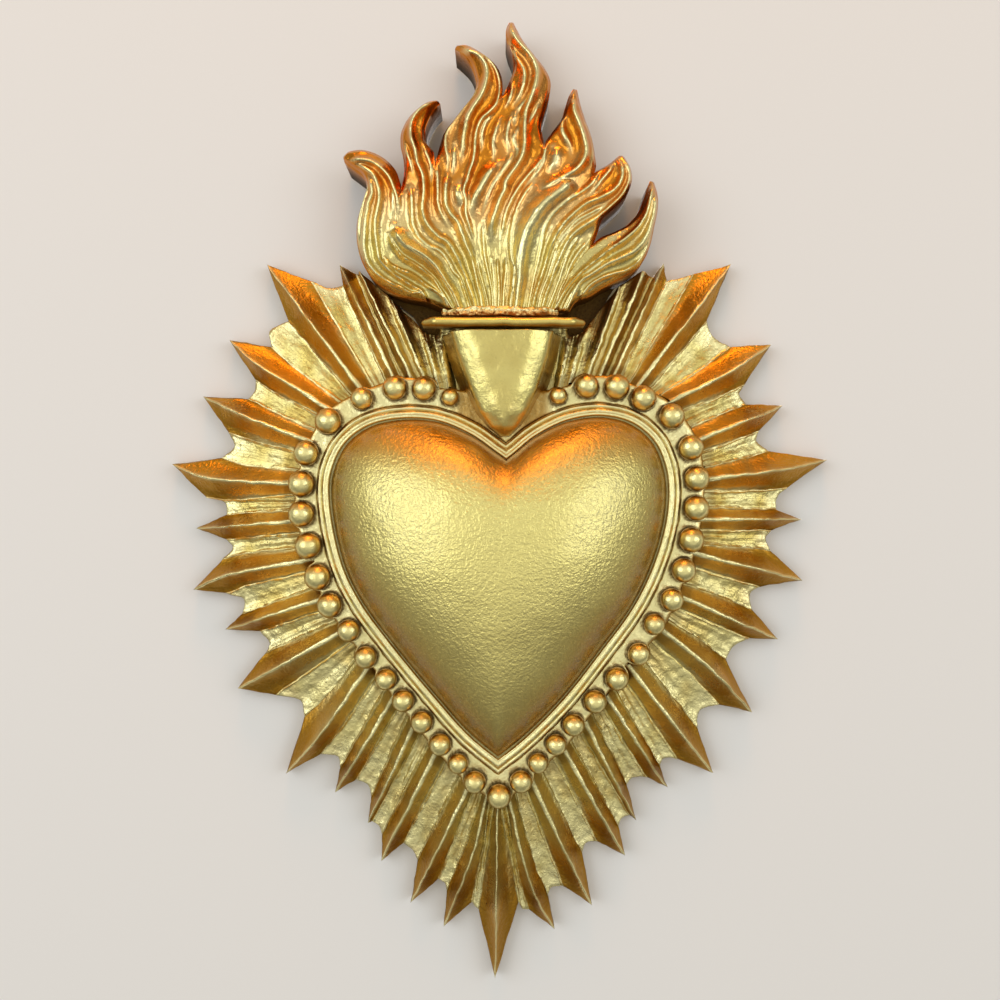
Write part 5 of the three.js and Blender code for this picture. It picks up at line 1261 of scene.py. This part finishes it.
def make_bar(name, node, left, right, low, high, front, taper, frill, paint):
    """A round-fronted bar across the throat that thins towards its ends; frill roughens its crest."""
    middle, half = (low + high) / 2, (high - low) / 2
    nose = half * 1.2
    xs = np.concatenate([[left, left + 0.05], np.linspace(left + 0.15, right - 0.15, 220),
                         [right - 0.05, right]])
    turn = np.linspace(0, np.pi, 21)
    rows = []
    for x in xs:
        room = max(min(x - left, right - x), 0.0)
        end = math.sqrt(max(1 - (1 - min(room / 0.8, 1)) ** 2, 0.02))
        share = end * (0.65 + 0.35 * smooth(0, taper, room))
        here = middle + 0.12 * ripple(x, 3.0, 2.5, 53)
        if frill:
            share = share * (0.82 + 0.18 * ripple(x, 0, 1.1, 54))
        lace = 1 + frill * (0.9 * ripple(x, 7.0, 0.9, 56) + 0.3) * smooth(1.6, 2.6, turn)
        y = np.clip(here - half * share * np.cos(turn) * lace, low, high)
        rough = frill * (0.6 * ripple(x, y, 0.9, 51) + 0.4 * ripple(x, y, 0.45, 52)) - frill
        rough = rough + 0.06 * ripple(x, y, 2.2, 55) - 0.06
        sunk = 1.6 * (1 - smooth(0, taper * 1.3, room))
        depth = front - sunk - nose + nose * min(share, 1) * np.sin(turn)
        arc = np.column_stack([np.full(len(turn), x), y, depth + rough * np.sin(turn)])
        rows.append(np.vstack([[(x, middle, THROAT_SEAT)], arc, [(x, y[-1], THROAT_SEAT)]]))
    # Painted shade darkens the bar towards its back edges, and most on its underside. A painted highlight
    # leaves the copper off a pale band above the middle of the collar and off the upper half of the frilled
    # lip.
    shade = np.concatenate([[0.8], 0.3 * (1 - np.sin(turn)) ** 1.5 + 0.25 * (turn < 0.9), [0.6]])
    bright = smooth(1.5, 1.9, turn) if frill else bell(turn - 1.9, 0.45)
    warm = np.concatenate([[1.0], 0.95 * (1 - bright), [0.8]])
    count, size = len(rows), len(rows[0])
    shell = Shell()
    shell.add(np.vstack(rows), [grid_faces(count, size, wrap=True), end_face(0, size),
                                end_face(count - 1, size)],
              hollow=np.tile(shade, count), tone=np.tile(warm, count))
    settle(shell.make(name, crease=60), paint, [node])


def make_collar_and_lip():
    """The smooth roll across the top of the cup and the thin rough lip above it."""
    chosen = settings()
    collar = gilding("Gold_bronze_paint_on_collar", chosen.warm_gold, rough=0.3, peel=1.0, peel_height=0.08,
                     grain_height=0.03, slope=(-0.9, -0.4), slope_share=0.6, amber_share=0.3)
    lip = gilding("Gold_bronze_paint_on_lip", chosen.pale_gold, rough=0.3, peel=0.5, peel_height=0.16,
                  grain_height=0.08, slope=(-0.9, -0.4), slope_share=0.2, amber_share=0.3, tone_share=0.8,
                  wash_and_shade=srgb("#cf8a34"))
    make_bar("collar", "cup_collar", -15.9, 17.3, 34.75, 36.75, 17.0, 2.4, 0.0, collar)
    make_bar("lip", "cup_lip", -12.0, 12.0, 37.0, 39.3, 15.5, 4.0, 0.4, lip)


# The flame.

# Strands that end below this height run on to the foot.
ROOTED_BELOW = 43.5


def half_width(width):
    """Half width of a strand as it is carved, from the one in the drawing."""
    return width * 1.1 + 0.22


def flame_relief(xy):
    """Rise of the strands over the flame at each place, how near a crest it is, and the fine tool marks."""
    cubes, near, streak = (np.zeros(len(xy)) for _ in range(3))
    for number, (width, height, points) in enumerate(STRANDS):
        rooted = points[-1][1] < ROOTED_BELOW
        if rooted:
            points = [*points, (points[-1][0] * 0.86, FLAME_FOOT - 1.0)]
        line = curve_through(points, count=30 * len(points))
        length = length_of(line)
        line = even(line, np.linspace(0, 1, max(8, int(length / 0.45))))
        limit = 4 * half_width(width)
        close = np.flatnonzero(((xy > line.min(axis=0) - limit) & (xy < line.max(axis=0) + limit)).all(axis=1))
        if not len(close):
            continue
        start, step = line[:-1], np.diff(line, axis=0)
        away = xy[close][:, None] - start
        share = np.clip((away * step).sum(axis=2) / (step ** 2).sum(axis=1), 0, 1)
        gap = away - share[..., None] * step
        far = np.hypot(gap[..., 0], gap[..., 1])
        best, pick = far.argmin(axis=1), np.arange(len(close))
        gap, share, far = gap[pick, best], share[pick, best], far[pick, best]
        walked = (best + share) / len(step) * length
        side = np.sign(step[best, 0] * gap[:, 1] - step[best, 1] * gap[:, 0])
        fade = 0.3 + 0.7 * smooth(0, 2.5, walked)
        if not rooted:
            fade = fade * smooth(0, min(7.0, length / 2), length - walked)
        # The strands thin out where they crowd together at the foot.
        slim = 0.62 + 0.38 * smooth(42, 56, xy[close, 1])
        wide = half_width(width) * slim
        peak = (1 + (far / wide) ** 2) ** -0.9 * fade * (1 - np.minimum(far / limit, 1) ** 2) ** 2
        fine = ripple(far * side / 0.42, walked / 7 + number, 1.0, 74) * bell(far, 0.8)
        streak[close] += 0.14 * fine * smooth(60, 46, xy[close, 1])
        cubes[close] += (height * (0.5 + 0.5 * slim) * peak) ** 3
        near[close] = np.maximum(near[close], (1 + (far / (0.85 * wide)) ** 2) ** -2 * fade)
    return cubes ** (1 / 3), near, streak


# Distance between the rows and between the columns of a tongue, in mm.
TONGUE_STEP = 0.3
TONGUE_PITCH = 0.19


def cover(edge, number, loops):
    """How far each place on a tongue's edge is covered by a neighbour, from 0 to 1."""
    covered = np.zeros(len(edge), bool)
    for other, loop in enumerate(loops):
        if other != number:
            covered |= inside(loop, edge)
    return np.convolve(np.pad(covered.astype(float), 4, "edge"), np.ones(9) / 9, "valid")[:, None]


def make_flame():
    """The seven tongues, each a closed block with its own carved front."""
    scale = settings().strand_rise / 1.2
    shell = Shell()
    sides = [[curve_through([(end, FLAME_FOOT), *side], count=600) for end, side in zip(foot, edges)]
             for foot, *edges in TONGUES]
    loops = [np.vstack([left, right[::-1]]) for left, right in sides]
    for number, (left, right) in enumerate(sides):
        coarse = np.linspace(0, 1, 60)
        widest = np.linalg.norm(even(left, coarse) - even(right, coarse), axis=1).max()
        count, across = int(length_of(left) / TONGUE_STEP), int(widest / TONGUE_PITCH)
        edges = [even(side, np.linspace(0, 1, count)) for side in (left, right)]
        # The columns lie closer together near both edges.
        s = np.linspace(0, 1, across)
        s = 0.5 - 0.5 * np.cos(np.pi * s) * 0.35 + (s - 0.5) * 0.65
        a, b = edges[0][:, None], edges[1][:, None]
        xy = a + (b - a) * s[None, :, None]
        y = xy[..., 1]
        width = np.maximum(np.linalg.norm(b - a, axis=2), 0.02)
        relief, near, streak = (part.reshape(count, across) for part in flame_relief(xy.reshape(-1, 2)))
        lobe = np.sin(np.pi * s)[None, :] * np.clip(width / 9, 0, 1)
        depth = FLAME_FRONT + 1.3 * bell(y - 60, 15) - 0.5 * smooth(76, 98, y) + 0.5 * lobe * smooth(50, 66, y)
        depth = depth + scale * (relief + streak) * np.clip(width / 2.2, 0.15, 1)
        depth = depth + lumps(xy, (0.1, 1.6, 71)) + lumps(xy, (0.05, 0.7, 72))
        # Copper fills the valleys as painted shade, with more of it up the flame as painted warm light from
        # above. The crests are left pale as a painted highlight. Near the foot, painted shade darkens the
        # valleys and olive fills them.
        tone = (1 - near) * (0.1 + 0.9 * smooth(50, 66, y) + lumps(xy, (0.2, 5.0, 73)))
        hollow = 0.15 * (1 - near) ** 3 * smooth(56, 44, y)
        olive = 0.75 * (1 - near) * smooth(60, 48, y)
        # An edge that a neighbour covers stays up; an open one is rounded over.
        for line, gap in zip(edges, (s, 1 - s)):
            edge = gap[None, :] * width
            bare = 1 - cover(line, number, loops)
            depth = depth - bare * (1.2 * bell(edge, 0.45) + 0.3 * bell(edge, 1.2))
            depth = depth - (1 - bare) * 0.4 * (1 - smooth(0, 0.3, edge))
            # A bare rounded edge is painted copper, as painted shade where it turns away.
            tone = np.maximum(tone, bare * 0.75 * bell(edge, 0.3))
        depth = depth - 0.5 * (1 - smooth(0, 0.5, y - FLAME_FOOT))
        # Each side runs from the back to the front in three steps.
        low, high = ([level(edge[:, None], step) for step in (FLAME_BACK, FLAME_BACK + 0.3, LAP_DEPTH)]
                     for edge in edges)
        points = np.concatenate([*low, np.dstack([xy, depth]), *high[::-1]], axis=1)

        def sided(side, values):
            """Values of the front with those of a side on either hand."""
            side = np.tile(side, (count, 1))
            return np.concatenate([side, np.clip(values, 0, 1), side[:, ::-1]], axis=1).ravel()

        size = points.shape[1]
        # The sides of each tongue are painted dark and coppery, as painted shade.
        shell.add(points, [grid_faces(count, size), under_faces(count, size), end_face(0, size),
                           end_face(count - 1, size)],
                  hollow=sided([0.35, 1.0, 0.7], hollow), tone=sided([0.2, 1.0, 1.0], tone),
                  olive=sided([0.0, 0.0, 0.0], olive))
    paint = gilding("Gold_bronze_paint_on_flame", settings().pale_gold, rough=0.22, peel=0.9,
                    peel_height=0.08, grain_height=0.045, slope=(-0.8, -0.35), slope_share=0.3,
                    amber_share=0.35, tone_share=1.0, mottle=0.0, wash_and_shade=srgb("#cb8022"))
    settle(shell.make("flame", crease=60), paint, ["flame"])


# The hanger.

# Wire thickness of the ring and the staple, and how deep the ring's own wire lies, in mm.
RING_WIRE = 1.4
STAPLE_WIRE = 1.2
RING_DEPTH = 2.4


def wire_tree():
    """Round wire along the carrier's edges."""
    tree, given = node_tree("Bent_wire", {
        "Wire": ("NodeSocketFloat", RING_WIRE / 1000), "Facets": ("NodeSocketInt", 24),
        "Metal": ("NodeSocketMaterial", None)})
    run = add(tree, "GeometryNodeMeshToCurve", {"Mesh": given["Geometry"]})
    half = add(tree, "ShaderNodeMath", {0: given["Wire"], 1: 0.5}, operation="MULTIPLY")
    section = add(tree, "GeometryNodeCurvePrimitiveCircle", {"Resolution": given["Facets"], "Radius": half})
    drawn = add(tree, "GeometryNodeCurveToMesh", {"Curve": run, "Profile Curve": section, "Fill Caps": True})
    smoothed = add(tree, "GeometryNodeSetShadeSmooth", {"Geometry": drawn})
    real = add(tree, "GeometryNodeRealizeInstances", {"Geometry": smoothed})
    made = add(tree, "GeometryNodeSetMaterial", {"Geometry": real, "Material": given["Metal"]})
    add(tree, "NodeGroupOutput", {"Geometry": made})
    return tree


def bend(cx, cy, radius, start, stop, steps):
    """Points along an arc, with its angles in degrees."""
    turn = np.radians(np.linspace(start, stop, steps + 1))
    return np.column_stack([cx + radius * np.cos(turn), cy + radius * np.sin(turn)])


def make_hanger():
    """The D ring and the staple that it turns in."""
    tree, metal = wire_tree(), drawn_steel_wire()
    path = np.vstack([bend(-4.5, -1.5, 1.5, 180, 90, 8), bend(4.5, -1.5, 1.5, 90, 0, 8),
                      bend(0, -4, 6, 0, -180, 48)[1:-1]])
    ring = [(x, y + HANGER_HEIGHT, RING_DEPTH) for x, y in path]
    path = np.vstack([[(-1.6, 5.0)], bend(-0.88, 1.52, 0.72, 180, 270, 10),
                      bend(0.88, 1.52, 0.72, 270, 360, 10), [(1.6, 5.0)]])
    staple = [(0, HANGER_HEIGHT + y, depth) for y, depth in path]
    for name, points, closed, wire, node, body in (
            ("hanger_d_ring", ring, True, RING_WIRE, "hanger_ring", "ring"),
            ("staple", staple, False, STAPLE_WIRE, "hanger_staple", "plaque")):
        edges = [(i, (i + 1) % len(points)) for i in range(len(points) if closed else len(points) - 1)]
        made = bake_nodes(carrier_of(name, points, edges), tree,
                          {"Wire": wire / 1000, "Facets": settings().wire_turns, "Metal": metal})
        settle(made, None, [node], body=body)


# The stage.


def pale_wall():
    """Matt wall paint. Seen from behind it is left out, and it keeps no light from the flat back."""
    material, tree = new_material("Matt_wall_paint")
    facing = add(tree, "ShaderNodeNewGeometry")
    path = add(tree, "ShaderNodeLightPath")
    far = add(tree, "ShaderNodeMath", {0: path.outputs["Ray Length"], 1: 0.006}, operation="GREATER_THAN")
    mirrored = add(tree, "ShaderNodeMath", {0: path.outputs["Is Glossy Ray"], 1: far}, operation="MULTIPLY")
    seen = add(tree, "ShaderNodeMath", {0: path.outputs["Is Camera Ray"], 1: mirrored}, operation="MAXIMUM")
    front = add(tree, "ShaderNodeMath", {0: 1.0, 1: facing.outputs["Backfacing"]}, operation="SUBTRACT")
    shown = add(tree, "ShaderNodeMath", {0: seen, 1: front}, operation="MULTIPLY")
    clear = add(tree, "ShaderNodeBsdfTransparent")
    matt = add(tree, "ShaderNodeBsdfDiffuse", {"Color": srgb("#e4e2dd")})
    both = add(tree, "ShaderNodeMixShader", {0: shown, 1: clear, 2: matt})
    add(tree, "ShaderNodeOutputMaterial", {"Surface": both})
    return material


# The lamps: place and width in metres, power in watts and colour.
LAMPS = [
    ("soft_left", (-0.42, -0.50, 0.12), 0.50, 1.14, "#eef3ff"),
    ("soft_right", (0.44, -0.48, 0.10), 0.40, 0.70, "#eef3ff"),
    ("warm_top", (0.0, -0.20, 0.60), 0.22, 1.0, "#ffaa48"),
    ("soft_back", (0.1, 0.6, 0.2), 0.4, 0.9, "#ffffff"),
]

# The wall stands this far behind the flat back, and the camera as far in front of it as the photograph's
# angle of view asks for. Metres, and mm for the lens.
WALL_GAP = 0.0006
CAMERA_DISTANCE = 0.240
LENS = 40.18


def make_stage():
    """The wall behind the plaque, the room round it, the lamps and the camera. Places are in metres."""
    scene = bpy.context.scene
    half, back = 1.5, WALL_GAP
    mesh = bpy.data.meshes.new("wall")
    mesh.from_pydata([(-half, back, -half), (half, back, -half), (half, back, half), (-half, back, half)], [],
                     [(0, 1, 2, 3)])
    mesh.materials.append(pale_wall())
    wall_piece = bpy.data.objects.new("wall", mesh)
    scene.collection.objects.link(wall_piece)

    world = bpy.data.worlds.new("Studio")
    world.use_nodes = True
    tree = world.node_tree
    tree.nodes.clear()
    aim = add(tree, "ShaderNodeTexCoord")
    split = add(tree, "ShaderNodeSeparateXYZ", {0: aim.outputs["Generated"]})
    # The room is lightest in front of the wall and dim below.
    ahead = add(tree, "ShaderNodeMapRange", {0: split.outputs["Y"], 1: -0.2, 2: -0.95, 3: 0.36, 4: 0.95},
                interpolation_type="SMOOTHSTEP")
    below = add(tree, "ShaderNodeMapRange", {0: split.outputs["Z"], 1: -0.95, 2: 0.05, 3: 0.56, 4: 1.0},
                interpolation_type="SMOOTHSTEP")
    light = add(tree, "ShaderNodeMath", {0: ahead, 1: below}, operation="MULTIPLY")
    glow = add(tree, "ShaderNodeBackground", {"Color": srgb("#fbf9f2"), "Strength": light})
    add(tree, "ShaderNodeOutputWorld", {"Surface": glow})
    scene.world = world

    def lamp(name, place, size, power, colour):
        """A round soft lamp that looks at the middle of the plaque."""
        light = bpy.data.lights.new(name, "AREA")
        light.shape, light.size, light.energy, light.color = "DISK", size, power, srgb(colour)[:3]
        holder = bpy.data.objects.new(name, light)
        holder.location = place
        aim = -np.array(place)
        flat = math.hypot(aim[0], aim[1])
        holder.rotation_euler = (math.pi / 2 + math.atan2(aim[2], flat), 0, math.atan2(-aim[0], aim[1]))
        scene.collection.objects.link(holder)

    for row in LAMPS:
        lamp(*row)

    camera = bpy.data.cameras.new("camera")
    camera.sensor_width, camera.lens, camera.clip_start = 36.0, LENS, 0.01
    holder = bpy.data.objects.new("camera", camera)
    holder.location = (0.0, -CAMERA_DISTANCE, 0.0)
    holder.rotation_euler = (math.pi / 2, 0, 0)
    scene.collection.objects.link(holder)
    scene.camera = holder
    scene.view_settings.view_transform = "Standard"


# Operators and the panel.


class EXVOTO_OT_sunburst(bpy.types.Operator):
    """Carves the sunburst plate, its rays, webs and flat back"""

    bl_idname = "exvoto.sunburst"
    bl_label = "Sunburst plate"

    def execute(self, context):
        make_sunburst()
        return {"FINISHED"}


class EXVOTO_OT_heart(bpy.types.Operator):
    """Makes the domed heart and the double roll round it"""

    bl_idname = "exvoto.heart"
    bl_label = "Heart and rolls"

    def execute(self, context):
        make_dome()
        make_rim()
        return {"FINISHED"}


class EXVOTO_OT_beads(bpy.types.Operator):
    """Lays the bed and the 39 beads round the heart"""

    bl_idname = "exvoto.beads"
    bl_label = "Beads and bed"

    def execute(self, context):
        make_bed()
        make_beads()
        return {"FINISHED"}


class EXVOTO_OT_cup(bpy.types.Operator):
    """Makes the cup, the collar and the rough lip under the flame"""

    bl_idname = "exvoto.cup"
    bl_label = "Cup, collar and lip"

    def execute(self, context):
        make_cup()
        make_collar_and_lip()
        return {"FINISHED"}


class EXVOTO_OT_flame(bpy.types.Operator):
    """Carves the seven tongues of the flame"""

    bl_idname = "exvoto.flame"
    bl_label = "Flame"

    def execute(self, context):
        make_flame()
        return {"FINISHED"}


class EXVOTO_OT_hanger(bpy.types.Operator):
    """Bends the wire ring and its staple in the back"""

    bl_idname = "exvoto.hanger"
    bl_label = "Hanger"

    def execute(self, context):
        make_hanger()
        return {"FINISHED"}


class EXVOTO_OT_stage(bpy.types.Operator):
    """Sets up the wall, the lamps and the camera"""

    bl_idname = "exvoto.stage"
    bl_label = "Wall, lamps and camera"

    def execute(self, context):
        make_stage()
        return {"FINISHED"}


OPERATORS = [EXVOTO_OT_sunburst, EXVOTO_OT_heart, EXVOTO_OT_beads, EXVOTO_OT_cup, EXVOTO_OT_flame,
             EXVOTO_OT_hanger, EXVOTO_OT_stage]


class EXVOTO_PT_panel(bpy.types.Panel):
    """Lists the pieces of the ex-voto and the values that shape them"""

    bl_idname = "EXVOTO_PT_panel"
    bl_label = "Sunburst ex-voto"
    bl_space_type = "VIEW_3D"
    bl_region_type = "UI"
    bl_category = "Ex-voto"

    def draw(self, context):
        for name in ExvotoSettings.__annotations__:
            self.layout.prop(context.scene.exvoto, name)
        for operator in OPERATORS:
            self.layout.operator(operator.bl_idname)


def register():
    for made in (ExvotoSettings, *OPERATORS, EXVOTO_PT_panel):
        bpy.utils.register_class(made)
    bpy.types.Scene.exvoto = bpy.props.PointerProperty(type=ExvotoSettings)


def unregister():
    del bpy.types.Scene.exvoto
    for made in reversed((ExvotoSettings, *OPERATORS, EXVOTO_PT_panel)):
        bpy.utils.unregister_class(made)


def main():
    register()
    bpy.ops.exvoto.stage()
    bpy.ops.exvoto.sunburst()
    bpy.ops.exvoto.heart()
    bpy.ops.exvoto.beads()
    bpy.ops.exvoto.cup()
    bpy.ops.exvoto.flame()
    bpy.ops.exvoto.hanger()


if __name__ == "__main__":
    main()
